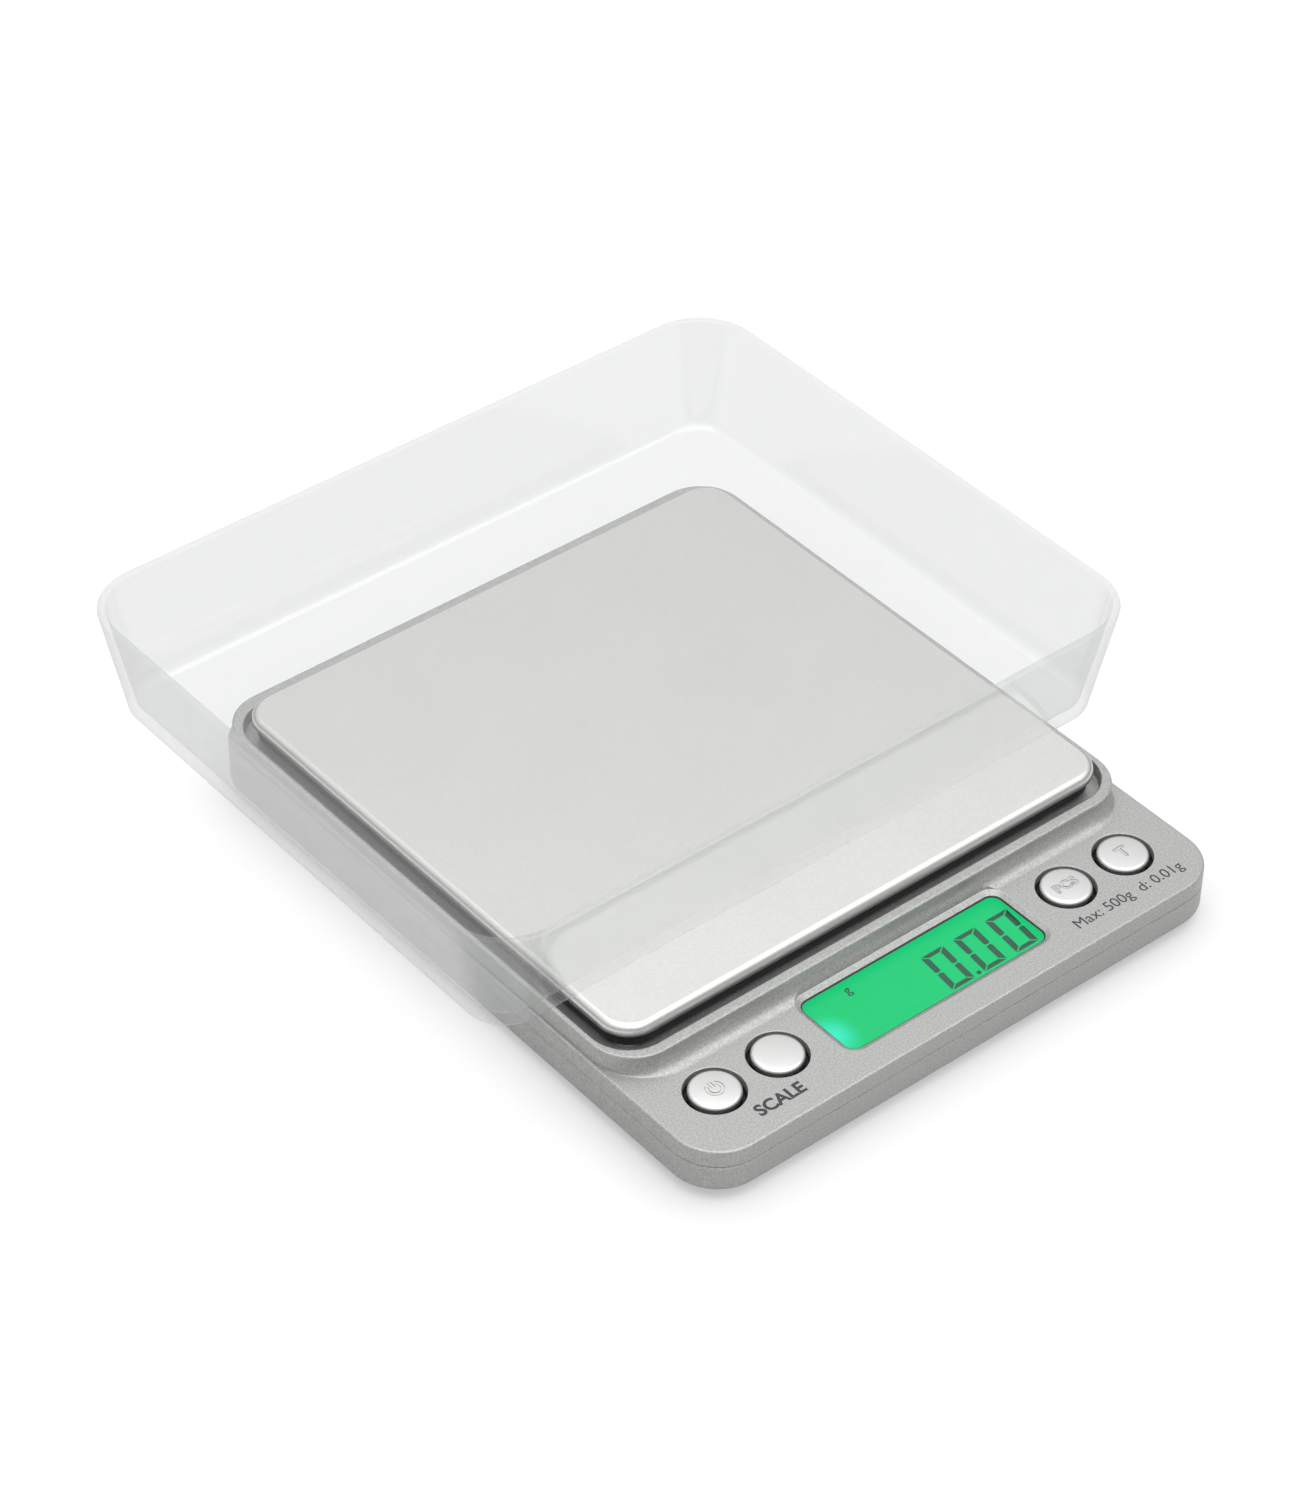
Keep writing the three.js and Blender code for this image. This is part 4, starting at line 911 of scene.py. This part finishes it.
def build_bottom_housing():
    sizes = bpy.context.scene.gram_scale_housing
    lip = sizes.seam_lip / MM
    h = HOUSING
    outside = (h.x0, h.x1, h.y0, h.y1, CORNER_R)
    bm = shape(lambda b: stacked(b, outside, [
        *rounded_foot(h.z0, sizes.foot_edge / MM), (SEAM - lip, 0), (SEAM, lip),
    ]))
    inside = (h.x0 + WALL, h.x1 - WALL, h.y0 + WALL, h.y1 - WALL, CORNER_R - WALL)
    carve(bm, "DIFFERENCE", shape(lambda b: stacked(b, inside, [
        (FLOOR_TOP, FLOOR_FILLET), (FLOOR_TOP + FLOOR_FILLET, 0), (SEAM + PAST, 0),
    ])))
    posts = corner_places("housing_screw")
    wall_x, wall_y = BAY_HALF_X + BAY_WALL, BAY_HALF_Y + BAY_WALL
    bay_walls = (-wall_x, wall_x, BAY_Y - wall_y, BAY_Y + wall_y, 0.6)
    pad = (CELL.x0 - 1, CELL.x0 + CELL_PAD_LONG, CELL.y0 - 1, CELL.y1 + 1, 0.6)
    carve(
        bm, "UNION",
        shape(*[lambda b, p=p: turned(b, *p, [(POST_R, h.z0 + 0.8), (POST_R, SEAM)], 32) for p in posts]),
        shape(
            lambda b: stacked(b, bay_walls, [(FLOOR_TOP - SINK, 0), (DECK_UNDER - 0.2, 0)], 4),
            lambda b: stacked(b, pad, [(FLOOR_TOP - SINK, 0), (FLOOR_TOP + CELL_PAD_HIGH, 0)], 4),
        ),
    )
    under, cell_under = h.z0 - PAST, h.z0 + CELL_SEAT_DEEP
    cell_screws = [Box(f"load_cell_screw_{i}") for i in (1, 2)]
    feet = corner_places("foot")
    screw_seat = [
        (SCREW_SEAT_R + MOUTH_BEVEL, under), (SCREW_SEAT_R + MOUTH_BEVEL, h.z0),
        (SCREW_SEAT_R, h.z0 + MOUTH_BEVEL), (SCREW_SEAT_R, h.z0 + SCREW_SEAT_DEEP),
    ]
    foot_seat = [
        (FOOT_SEAT_R + 0.2, under), (FOOT_SEAT_R + 0.2, h.z0),
        (FOOT_SEAT_R, h.z0 + MOUTH_BEVEL), (FOOT_SEAT_R, h.z0 + FOOT_SEAT_DEEP),
    ]
    bore_low, bore_high = h.z0 + 0.5, SEAM + PAST
    bay_front, bay_back = BAY_Y - BAY_HALF_Y, BAY_Y + BAY_HALF_Y
    carve(
        bm, "DIFFERENCE",
        shape(
            *[lambda b, p=p: turned(b, *p, screw_seat, 32) for p in posts],
            *[lambda b, s=s: turned(b, s.x, s.y, [(CELL_SEAT_R, under), (CELL_SEAT_R, cell_under)], 32)
              for s in cell_screws],
            *[lambda b, p=p: turned(b, *p, foot_seat) for p in feet],
        ),
        shape(
            *[lambda b, p=p: turned(b, *p, [(1.4, bore_low), (1.4, bore_high)], 24) for p in posts],
            *[lambda b, s=s: turned(b, s.x, s.y, [(1.75, bore_low), (1.75, bore_high)], 24)
              for s in cell_screws],
        ),
        shape(lambda b: block(
            b, -BAY_HALF_X, BAY_HALF_X, bay_front, bay_back, under, DECK_UNDER + PAST, 0.4,
        )),
        shape(
            *[lambda b, s=s: block(
                b, s * HINGE_X - 3.3, s * HINGE_X + 3.3, bay_front - 3, bay_front + 0.5,
                FLOOR_TOP + 0.05, DECK_UNDER,
            ) for s in (-1, 1)],
            lambda b: block(
                b, -LATCH_HALF - 0.3, LATCH_HALF + 0.3, bay_back - 0.5, bay_back + 1.6,
                under, FLOOR_TOP + 4,
            ),
        ),
    )
    finished("bottom_housing_shell", bm, "base", ["bottom_housing"], silver_paint(), 32)


def build_battery_door():
    d = DOOR
    inside = d.z0 + DOOR_T
    back = BAY_Y + BAY_HALF_Y
    plate = (d.x0, d.x1, d.y0 + 1.7, back - 0.3, 0.6)
    latch = (-LATCH_HALF, LATCH_HALF, back - 1.2, d.y1, 0.5)
    plate_levels = [*rounded_foot(d.z0, 0.2, 0, 3), (inside, 0)]
    bm = shape(lambda b: stacked(b, plate, plate_levels, 4))
    front = BAY_Y - BAY_HALF_Y + 0.3
    under = FLOOR_TOP + 0.15
    arms = [(s * HINGE_X - 3, s * HINGE_X + 3) for s in (-1, 1)]
    carve(
        bm, "UNION",
        shape(
            *[lambda b, a=a: block(b, *a, front, front + 0.9, inside - 0.1, under + 0.9) for a in arms],
            lambda b: stacked(b, latch, plate_levels, 4),
        ),
        shape(
            *[lambda b, a=a: block(b, *a, front - 1.7, front + 0.7, under, under + 0.85) for a in arms],
            lambda b: block(
                b, 0.1 - LATCH_HALF, LATCH_HALF - 0.1, d.y1 - 0.8, d.y1, inside - 0.1, FLOOR_TOP + 1.6,
            ),
        ),
    )
    grips = [back - 4 - i * 1.6 for i in range(5)]
    grip_levels = [(d.z0 - PAST, 0), (d.z0, 0), (d.z0 + 0.3, 0.12)]
    carve(bm, "DIFFERENCE", shape(*[
        lambda b, y=y: stacked(b, (-6, 6, y - 0.4, y + 0.4, 0.38), grip_levels, 4) for y in grips
    ]))
    finished("battery_door_cover", bm, "battery_door", ["battery_door"], silver_paint(), 32)


CAP_SHARE = 0.72  # of the font's size that a capital stands tall
INK_T = 0.03
INK_SINK = 0.01
PRINT_Y = -58.85
CAPACITY_X = 36
WORD_X = -35.6


def build_panel_print():
    sizes = bpy.context.scene.gram_scale_housing
    height = sizes.print_height / MM
    font_size = height / CAP_SHARE
    lift = PANEL_TOP - INK_SINK
    bm = merged(
        lettering("Max: 500g  d: 0.01g", font_size, INK_T, CAPACITY_X, PRINT_Y, lift),
        lettering("SCALE", font_size * 1.1, INK_T, WORD_X, PRINT_Y, lift, 0.1),
    )
    finished("panel_print", bm, "base", [], panel_ink())


# ---------------------------------------- feet and screws


def build_feet():
    for corner in CORNERS:
        f = Box("foot_" + corner)
        r = f.w / 2
        bm = shape(lambda b: turned(b, f.x, f.y, [
            (r - 3.1, 0.35), (r - 2.5, 0.3), (r - 2.2, 0.05), (r - 2.0, 0), (r - 0.7, 0), (r - 0.35, 0.08),
            (r - 0.1, 0.3), (r, 0.65), (r, f.z1 - 0.1), (r - 0.1, f.z1),
        ]))
        node = "foot_" + corner
        finished("rubber_" + node, bm, "base", [node], foot_rubber())


def pan_head_screw(node, head_down, head_r, head_t):
    """A pan-head screw with a cross recess, its head at the lower end or the upper."""
    s = Box(node)
    r = head_r
    shank = SCREW_SHANK_R if head_t > 1.2 else CELL_SCREW_R
    if "board" in node:
        shank = BOARD_SCREW_R
    total = s.z1 - s.z0
    profile = [
        (r * 0.45, 0), (r * 0.72, 0.07 * head_t), (r * 0.88, 0.2 * head_t), (r * 0.97, 0.42 * head_t),
        (r, 0.7 * head_t), (r, head_t), (shank, head_t),
    ]
    pitch = shank * 0.55
    z = head_t + 0.5
    while z < total - 1.2:
        profile += [(shank, z), (shank * 0.84, z + pitch * 0.3), (shank, z + pitch * 0.6)]
        z += pitch
    profile += [(shank, total - 0.7), (shank * 0.5, total)]
    bm = bmesh.new()
    turned(bm, 0, 0, profile, 32)
    tidy(bm)
    long, thin, deep = r * 0.58, r * 0.13, head_t * 0.55
    slot = [(-PAST, 0), (0, 0), (deep, thin * 0.25)]
    carve(bm, "DIFFERENCE", *[
        shape(lambda b, a=a, c=c: stacked(b, (-a, a, -c, c, thin * 0.6), slot, 2))
        for a, c in ((long, thin), (thin, long))
    ])
    if not head_down:
        bmesh.ops.rotate(bm, cent=(0, 0, total / 2), matrix=Matrix.Rotation(math.pi, 3, "X"), verts=bm.verts)
    bmesh.ops.translate(bm, vec=(s.x, s.y, s.z0), verts=bm.verts)
    return bm


def build_screws():
    rows = [("housing_screw_" + c, "base", True, 2.3, 1.4) for c in CORNERS]
    rows += [("board_screw_" + c, "base", True, 1.8, 0.7) for c in CORNERS]
    rows += [(f"load_cell_screw_{i}", "base", True, 2.5, 1.0) for i in (1, 2)]
    rows += [(f"carrier_screw_{i}", "platform", False, 2.5, 1.0) for i in (1, 2)]
    for node, body, head_down, head_r, head_t in rows:
        bm = pan_head_screw(node, head_down, head_r, head_t)
        finished("pan_head_" + node, bm, body, [node], zinc_screw())


# ---------------------------------------- platform and tray


def build_platform():
    sizes = bpy.context.scene.gram_scale_platform
    t, bend = sizes.sheet / MM, sizes.bend / MM
    p = PLATFORM
    outer = [(p.z0 + 0.1, 0), *rounded_top(p.z1, bend, 0, 8)]
    inner = [(p.z0 + 0.1, t), *rounded_top(p.z1 - t, bend - t, t, 4)]
    levels = [*reversed(inner), (p.z0, t - 0.1), (p.z0, 0.1), *outer]
    bm = shape(lambda b: stacked(b, (p.x0, p.x1, p.y0, p.y1, PLATFORM_R), levels))
    finished("platform_sheet", bm, "platform", ["steel_platform"], satin_steel(), 50)


def build_tray():
    sizes = bpy.context.scene.gram_scale_tray
    wall, corner, draft = sizes.wall / MM, sizes.corner / MM, sizes.draft / MM
    foot, rim = sizes.foot / MM, sizes.rim / MM
    t = TRAY
    outer_foot = rounded_foot(t.z0 + REST_GAP, foot, draft, 8)
    inner_foot = rounded_foot(t.z0 + wall, foot, draft + wall, 8)
    rim_out = rounded_top(t.z1, rim, 0, 4)
    rim_in = [(z, wall - by) for z, by in reversed(rim_out)]
    levels = [*outer_foot, *rim_out, *rim_in, *reversed(inner_foot)]
    bm = shape(lambda b: stacked(b, (t.x0, t.x1, t.y0, t.y1, corner), levels, 16))
    finished("tray_shell", bm, "tray", ["clear_tray"], clear_styrene(), 60)


# ---------------------------------------- buttons


def power_mark(radius, stroke, low, high):
    """An open ring with a bar in its gap."""
    bm = bmesh.new()
    gap = math.radians(38)
    square = bmesh.ops.create_grid(bm, x_segments=1, y_segments=1, size=0.5)["verts"]
    bmesh.ops.scale(bm, vec=(stroke, high - low, 1), verts=square)
    bmesh.ops.rotate(bm, cent=(0, 0, 0), matrix=Matrix.Rotation(math.pi / 2, 3, "X"), verts=square)
    bmesh.ops.translate(bm, vec=(radius, 0, (low + high) / 2), verts=square)
    bmesh.ops.rotate(bm, cent=(0, 0, 0), matrix=Matrix.Rotation(math.pi / 2 + gap, 3, "Z"), verts=square)
    bmesh.ops.spin(
        bm, geom=[*bm.verts, *bm.edges, *bm.faces], cent=(0, 0, 0), axis=(0, 0, 1), dvec=(0, 0, 0),
        angle=2 * math.pi - 2 * gap, steps=28, use_merge=False, use_duplicate=False,
    )
    block(bm, -stroke / 2, stroke / 2, radius * 0.1, radius * 1.28, low, high, stroke * 0.2)
    tidy(bm)
    return bm


def build_buttons():
    sizes = bpy.context.scene.gram_scale_button
    edge, dome, relief = sizes.edge / MM, sizes.dome / MM, sizes.relief / MM
    legends = {
        "mode": (3.3, (("M", 0),)), "tare": (3.3, (("T", 0),)),
        "count": (2.6, (("P", -1.7), ("C", -0.05), ("S", 1.55))),
    }
    for name in BUTTONS:
        b = Box("button_" + name)
        top = b.z1
        flange_r, cap_r = b.w / 2, 4.2
        crown = [(cap_r - by, z) for z, by in rounded_top(top - dome, edge, 0, 6)]
        flat_r = crown[-1][0]
        crown += [(flat_r * k, top - dome * k * k) for k in (0.9, 0.75, 0.55, 0.35, 0.12)]
        bm = bmesh.new()
        turned(bm, 0, 0, [(flange_r, b.z0), (flange_r, PANEL_UNDER), (cap_r, PANEL_UNDER), *crown])
        tidy(bm)
        low, high = top - dome - relief, top - dome * 0.5
        groove = 0.13
        if name == "power":
            legend = [power_mark(1.2, 0.42, low - 0.02, high)]
            moat = [power_mark(1.2, 0.42 + 2 * groove, low, top + 1)]
        else:
            size, letters = legends[name]
            legend = [lettering(text, size, high - low + 0.02, x, 0, low - 0.02) for text, x in letters]
            moat = [lettering(text, size, top + 1 - low, x, 0, low, groove) for text, x in letters]
        carve(bm, "DIFFERENCE", *moat)
        carve(bm, "UNION", *legend)
        bmesh.ops.translate(bm, vec=(b.x, b.y, 0), verts=bm.verts)
        finished("key_" + name, bm, "button_" + name, ["button_" + name], satin_chrome(), 30)


# ---------------------------------------- display

SEGMENTS = {
    "0": "abcdef", "1": "bc", "2": "abged", "3": "abgcd", "4": "fgbc",
    "5": "afgcd", "6": "afgedc", "7": "abc", "8": "abcdefg", "9": "abcdfg",
}


def segment(bm, outline, low, high):
    """A flat bar from its outline, raised from low to high."""
    verts = [bm.verts.new((x, y, low)) for x, y in outline]
    face = bmesh.ops.contextual_create(bm, geom=verts)["faces"][0]
    raised = bmesh.ops.extrude_face_region(bm, geom=[face], use_keep_orig=True)
    tops = [v for v in raised["geom"] if isinstance(v, bmesh.types.BMVert)]
    bmesh.ops.translate(bm, vec=(0, 0, high - low), verts=tops)


def bar_outlines(w, h, wide, thin, gap):
    """Outlines of the seven bars of a digit w by h, whose uprights are wide and cross bars thin."""
    half = h / 2
    across = [(gap, h), (w - gap, h), (w - wide - gap, h - thin), (wide + gap, h - thin)]
    upright = [
        (0, h - gap), (wide, h - thin - gap * 1.4), (wide, half + gap * 2.4), (wide * 0.6, half + gap),
        (wide * 0.2, half + gap * 1.2), (0, half + gap * 3.2),
    ]
    middle = [
        (wide * 0.8, half), (wide * 1.3, half + thin / 2), (w - wide * 1.3, half + thin / 2),
        (w - wide * 0.8, half), (w - wide * 1.3, half - thin / 2), (wide * 1.3, half - thin / 2),
    ]
    return {
        "a": across, "d": [(x, h - y) for x, y in across], "g": middle,
        "f": upright, "b": [(w - x, y) for x, y in upright],
        "e": [(x, h - y) for x, y in upright], "c": [(w - x, h - y) for x, y in upright],
    }


DIGITS_FROM_RIGHT = 1.2
DIGITS_BELOW_MIDDLE = 5.1
CROSS_BAR_SHARE = 0.72  # of an upright bar's width
BAR_GAP = 0.13
POINT_R = 0.42
# Black ring round the window's edge: painted shade of the gap between lens and housing, as a printed black
# border.
SHADE_MASK_WIDE = 0.25
SHADE_MASK_UNDER = 0.3  # of the black ring, painted shade of the gap round the lens, that runs under the window's bevel


def build_display():
    sizes = bpy.context.scene.gram_scale_display
    height, width = sizes.digit_height / MM, sizes.digit_width / MM
    pitch, stroke = sizes.digit_pitch / MM, sizes.stroke / MM
    lens_outline = (LENS.x0, LENS.x1, LENS.y0, LENS.y1, POCKET_R - LENS_GAP)
    lens = shape(lambda b: stacked(b, lens_outline, [
        *rounded_foot(LENS.z0, 0.08, 0, 2), *rounded_top(LENS.z1, 0.08, 0, 2),
    ], 8))
    finished("display_window", lens, "base", ["display_lens"], clear_acrylic())
    glass = shape(lambda b: stacked(b, (GLASS.x0, GLASS.x1, GLASS.y0, GLASS.y1, 0.2), [
        *rounded_foot(GLASS.z0, 0.1, 0, 2), *rounded_top(GLASS.z1, 0.1, 0, 2),
    ], 3))
    panel = finished("display_panel", glass, "base", ["display_glass"], lit_glass())
    panel.visible_diffuse = False
    panel.visible_glossy = False

    low, high = GLASS.z1 - 0.01, GLASS.z1 + 0.015
    bm = bmesh.new()
    right, bottom = GLASS.x1 - DIGITS_FROM_RIGHT, GLASS.y - DIGITS_BELOW_MIDDLE
    outlines = bar_outlines(width, height, stroke, stroke * CROSS_BAR_SHARE, BAR_GAP)
    x = right - width
    for mark in reversed(sizes.reading):
        if mark == ".":
            turned(bm, x + pitch - 0.95, bottom + 0.45, [(POINT_R, low), (POINT_R, high)], 16)
            continue
        for key in SEGMENTS[mark]:
            segment(bm, [(x + px, bottom + py) for px, py in outlines[key]], low, high)
        x -= pitch
    tidy(bm)
    bmesh.ops.translate(bm, vec=(0, -bottom, 0), verts=bm.verts)
    lean = Matrix.Identity(4)
    lean[0][1] = math.tan(sizes.slant)
    bmesh.ops.transform(bm, matrix=lean, verts=bm.verts)
    bmesh.ops.translate(bm, vec=(-height * math.tan(sizes.slant) / 2, bottom, 0), verts=bm.verts)
    bm = merged(bm, lettering("g", 2.5, high - low, GLASS.x0 + 9.7, GLASS.y + 5.0, low, 0.03))
    finished("display_figures", bm, "base", [], display_segment())

    # a thin black ring under the window's edge: painted shade of the gap between lens and housing, as a
    # printed black border
    back = WINDOW_BACKSET
    opening = (LENS.x0 + back, LENS.x1 - back, LENS.y0 + back, LENS.y1 - back, WINDOW_R)
    shade_mask = shape(lambda b: stacked(b, opening, [
        (LENS.z1 + 0.01, -SHADE_MASK_UNDER), (LENS.z1 + 0.05, -SHADE_MASK_UNDER),
    ], 8))
    carve(shade_mask, "DIFFERENCE", shape(lambda b: stacked(b, opening, [
        (LENS.z1 - PAST, SHADE_MASK_WIDE), (LENS.z1 + PAST, SHADE_MASK_WIDE),
    ], 8)))
    finished("display_shade_mask", shade_mask, "base", [], black_plastic())


# ---------------------------------------- pieces kept from the frame


def kept_finishes():
    """CAD nodes whose shape is right, each with its finish."""
    rows = {
        "display_backlight": light_guide, "display_contact_strip": contact_rubber,
        "display_frame": black_plastic, "main_board": board_mask, "controller_chip": black_resin,
        "platform_carrier": black_plastic, "load_cell": cell_aluminium,
        "load_cell_spacer_base": zinc_plate, "load_cell_spacer_platform": zinc_plate,
        "gauge_coating": gauge_silicone, "battery_front": battery_jacket, "battery_back": battery_jacket,
        "battery_contact_positive": nickel_spring, "battery_contact_negative": nickel_spring,
        "battery_contact_bridge": nickel_spring, "load_cell_lead": lead_white,
        "battery_lead_positive": lead_red, "battery_lead_negative": lead_black,
    }
    for name in BUTTONS:
        rows["switch_" + name] = black_plastic
        rows["plunger_" + name] = plunger_plastic
    for corner in CORNERS:
        rows["platform_pad_" + corner] = foam_pad
    return rows


def build_inner_pieces():
    for node, finish in kept_finishes().items():
        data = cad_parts[node].data
        data.materials.clear()
        data.materials.append(finish())


# ---------------------------------------- studio


def studio_light(name, power, size, place, target):
    light = bpy.data.lights.new(name, "AREA")
    light.shape = "RECTANGLE"
    light.size, light.size_y = size
    light.energy = power
    made = bpy.data.objects.new(name, light)
    made.location = place
    made.rotation_euler = (Vector(target) - Vector(place)).to_track_quat("-Z", "Y").to_euler()
    bpy.context.scene.collection.objects.link(made)
    return made


def build_studio():
    scene = bpy.context.scene
    settings = scene.gram_scale_studio
    bm = bmesh.new()
    bmesh.ops.create_grid(bm, x_segments=1, y_segments=1, size=settings.floor_size / 2)
    mesh = bpy.data.meshes.new("Floor")
    bm.to_mesh(mesh)
    bm.free()
    floor = bpy.data.objects.new("Floor", mesh)
    paper = Finish("Pale paper", (0.5, 0.5, 0.5), 0.9)
    paper.set("Specular IOR Level", 0.1)
    paper.set("Emission Color", (1, 1, 1, 1))
    paper.set("Emission Strength", 0.38)
    dim = paper.node("ShaderNodeBsdfDiffuse")
    dim.inputs["Color"].default_value = (0.66, 0.66, 0.66, 1)
    seen = paper.node("ShaderNodeLightPath")
    either = paper.node("ShaderNodeMixShader")
    paper.link(seen.outputs["Is Camera Ray"], either.inputs[0])
    paper.link(dim.outputs[0], either.inputs[1])
    paper.link(paper.shader.outputs[0], either.inputs[2])
    paper.link(either.outputs[0], paper.output.inputs["Surface"])
    mesh.materials.append(paper.material)
    scene.collection.objects.link(floor)

    world = bpy.data.worlds.new("Soft surroundings")
    world.use_nodes = True
    nodes, links = world.node_tree.nodes, world.node_tree.links
    sky = nodes["Background"]
    direction = nodes.new("ShaderNodeTexCoord")
    height = nodes.new("ShaderNodeSeparateXYZ")
    strength = nodes.new("ShaderNodeMapRange")
    strength.inputs["From Min"].default_value = 0
    strength.inputs["From Max"].default_value = 1
    strength.inputs["To Min"].default_value = settings.sky * 0.2
    strength.inputs["To Max"].default_value = settings.sky * 1.5
    links.new(direction.outputs["Generated"], height.inputs[0])
    links.new(height.outputs["Z"], strength.inputs["Value"])
    links.new(strength.outputs["Result"], sky.inputs["Strength"])
    backdrop = nodes.new("ShaderNodeBackground")
    path = nodes.new("ShaderNodeLightPath")
    mix = nodes.new("ShaderNodeMixShader")
    links.new(path.outputs["Is Camera Ray"], mix.inputs[0])
    links.new(sky.outputs[0], mix.inputs[1])
    links.new(backdrop.outputs[0], mix.inputs[2])
    links.new(mix.outputs[0], nodes["World Output"].inputs["Surface"])
    backdrop.inputs["Color"].default_value = (1, 1, 1, 1)
    sky.inputs["Color"].default_value = (1, 1, 1, 1)
    scene.world = world
    scene.view_settings.view_transform = "Standard"

    studio_light("Softbox", settings.softbox, (1.4, 1.4), (0.1, -0.15, 1.1), (0, 0, 0))

    camera = bpy.data.cameras.new("Camera")
    camera.sensor_fit = "AUTO"
    camera.sensor_width = 36
    camera.lens = settings.lens
    camera.clip_start = 0.01
    camera.clip_end = 100
    made = bpy.data.objects.new("Camera", camera)
    made.location = (-0.3365, -0.3965, 0.4581)
    made.rotation_euler = [math.radians(a) for a in (49.686, -0.636, -39.431)]
    scene.collection.objects.link(made)
    scene.camera = made


# ---------------------------------------- operators and panel


class GRAMSCALE_OT_bottom_housing(bpy.types.Operator):
    """Moulded lower half with battery bay and posts"""

    bl_idname = "gramscale.bottom_housing"
    bl_label = "Bottom Housing"
    bl_options = {"REGISTER", "UNDO"}

    def execute(self, context):
        build_bottom_housing()
        return {"FINISHED"}


class GRAMSCALE_OT_top_housing(bpy.types.Operator):
    """Moulded upper half with panel, raised border and deck"""

    bl_idname = "gramscale.top_housing"
    bl_label = "Top Housing"
    bl_options = {"REGISTER", "UNDO"}

    def execute(self, context):
        build_top_housing()
        return {"FINISHED"}


class GRAMSCALE_OT_battery_door(bpy.types.Operator):
    """Door over the batteries, on the underside"""

    bl_idname = "gramscale.battery_door"
    bl_label = "Battery Door"
    bl_options = {"REGISTER", "UNDO"}

    def execute(self, context):
        build_battery_door()
        return {"FINISHED"}


class GRAMSCALE_OT_panel_print(bpy.types.Operator):
    """Printed capacity line and word"""

    bl_idname = "gramscale.panel_print"
    bl_label = "Panel Print"
    bl_options = {"REGISTER", "UNDO"}

    def execute(self, context):
        build_panel_print()
        return {"FINISHED"}


class GRAMSCALE_OT_feet(bpy.types.Operator):
    """Four rubber feet"""

    bl_idname = "gramscale.feet"
    bl_label = "Feet"
    bl_options = {"REGISTER", "UNDO"}

    def execute(self, context):
        build_feet()
        return {"FINISHED"}


class GRAMSCALE_OT_screws(bpy.types.Operator):
    """Pan-head screws"""

    bl_idname = "gramscale.screws"
    bl_label = "Screws"
    bl_options = {"REGISTER", "UNDO"}

    def execute(self, context):
        build_screws()
        return {"FINISHED"}


class GRAMSCALE_OT_platform(bpy.types.Operator):
    """Bent sheet that the load rests on"""

    bl_idname = "gramscale.platform"
    bl_label = "Steel Platform"
    bl_options = {"REGISTER", "UNDO"}

    def execute(self, context):
        build_platform()
        return {"FINISHED"}


class GRAMSCALE_OT_tray(bpy.types.Operator):
    """Lift-off tray"""

    bl_idname = "gramscale.tray"
    bl_label = "Clear Tray"
    bl_options = {"REGISTER", "UNDO"}

    def execute(self, context):
        build_tray()
        return {"FINISHED"}


class GRAMSCALE_OT_buttons(bpy.types.Operator):
    """Four plated buttons with raised legends"""

    bl_idname = "gramscale.buttons"
    bl_label = "Buttons"
    bl_options = {"REGISTER", "UNDO"}

    def execute(self, context):
        build_buttons()
        return {"FINISHED"}


class GRAMSCALE_OT_display(bpy.types.Operator):
    """Lens, lit glass and figures"""

    bl_idname = "gramscale.display"
    bl_label = "Display"
    bl_options = {"REGISTER", "UNDO"}

    def execute(self, context):
        build_display()
        return {"FINISHED"}


class GRAMSCALE_OT_inner_pieces(bpy.types.Operator):
    """Finishes of the pieces inside"""

    bl_idname = "gramscale.inner_pieces"
    bl_label = "Inner Pieces"
    bl_options = {"REGISTER", "UNDO"}

    def execute(self, context):
        build_inner_pieces()
        return {"FINISHED"}


class GRAMSCALE_OT_studio(bpy.types.Operator):
    """Floor, light and camera"""

    bl_idname = "gramscale.studio"
    bl_label = "Studio"
    bl_options = {"REGISTER", "UNDO"}

    def execute(self, context):
        build_studio()
        return {"FINISHED"}


OPERATORS = [
    GRAMSCALE_OT_bottom_housing,
    GRAMSCALE_OT_top_housing,
    GRAMSCALE_OT_battery_door,
    GRAMSCALE_OT_panel_print,
    GRAMSCALE_OT_feet,
    GRAMSCALE_OT_screws,
    GRAMSCALE_OT_platform,
    GRAMSCALE_OT_tray,
    GRAMSCALE_OT_buttons,
    GRAMSCALE_OT_display,
    GRAMSCALE_OT_inner_pieces,
    GRAMSCALE_OT_studio,
]


class GRAMSCALE_PT_pieces(bpy.types.Panel):
    """The scale's pieces and their sizes"""

    bl_label = "Gram Scale"
    bl_idname = "GRAMSCALE_PT_pieces"
    bl_space_type = "VIEW_3D"
    bl_region_type = "UI"
    bl_category = "Gram Scale"

    def draw(self, context):
        for made in OPERATORS:
            self.layout.operator(made.bl_idname)
        for name, group in GROUPS.items():
            column = self.layout.column(align=True)
            for key in group.__annotations__:
                column.prop(getattr(context.scene, name), key)


def register():
    for name, group in GROUPS.items():
        bpy.utils.register_class(group)
        setattr(bpy.types.Scene, name, PointerProperty(type=group))
    for made in OPERATORS:
        bpy.utils.register_class(made)
    bpy.utils.register_class(GRAMSCALE_PT_pieces)


def unregister():
    bpy.utils.unregister_class(GRAMSCALE_PT_pieces)
    for made in reversed(OPERATORS):
        bpy.utils.unregister_class(made)
    for name, group in reversed(GROUPS.items()):
        delattr(bpy.types.Scene, name)
        bpy.utils.unregister_class(group)


def main():
    register()
    bpy.ops.gramscale.bottom_housing()
    bpy.ops.gramscale.top_housing()
    bpy.ops.gramscale.battery_door()
    bpy.ops.gramscale.panel_print()
    bpy.ops.gramscale.feet()
    bpy.ops.gramscale.screws()
    bpy.ops.gramscale.platform()
    bpy.ops.gramscale.tray()
    bpy.ops.gramscale.buttons()
    bpy.ops.gramscale.display()
    bpy.ops.gramscale.inner_pieces()
    bpy.ops.gramscale.studio()


if __name__ == "__main__":
    main()
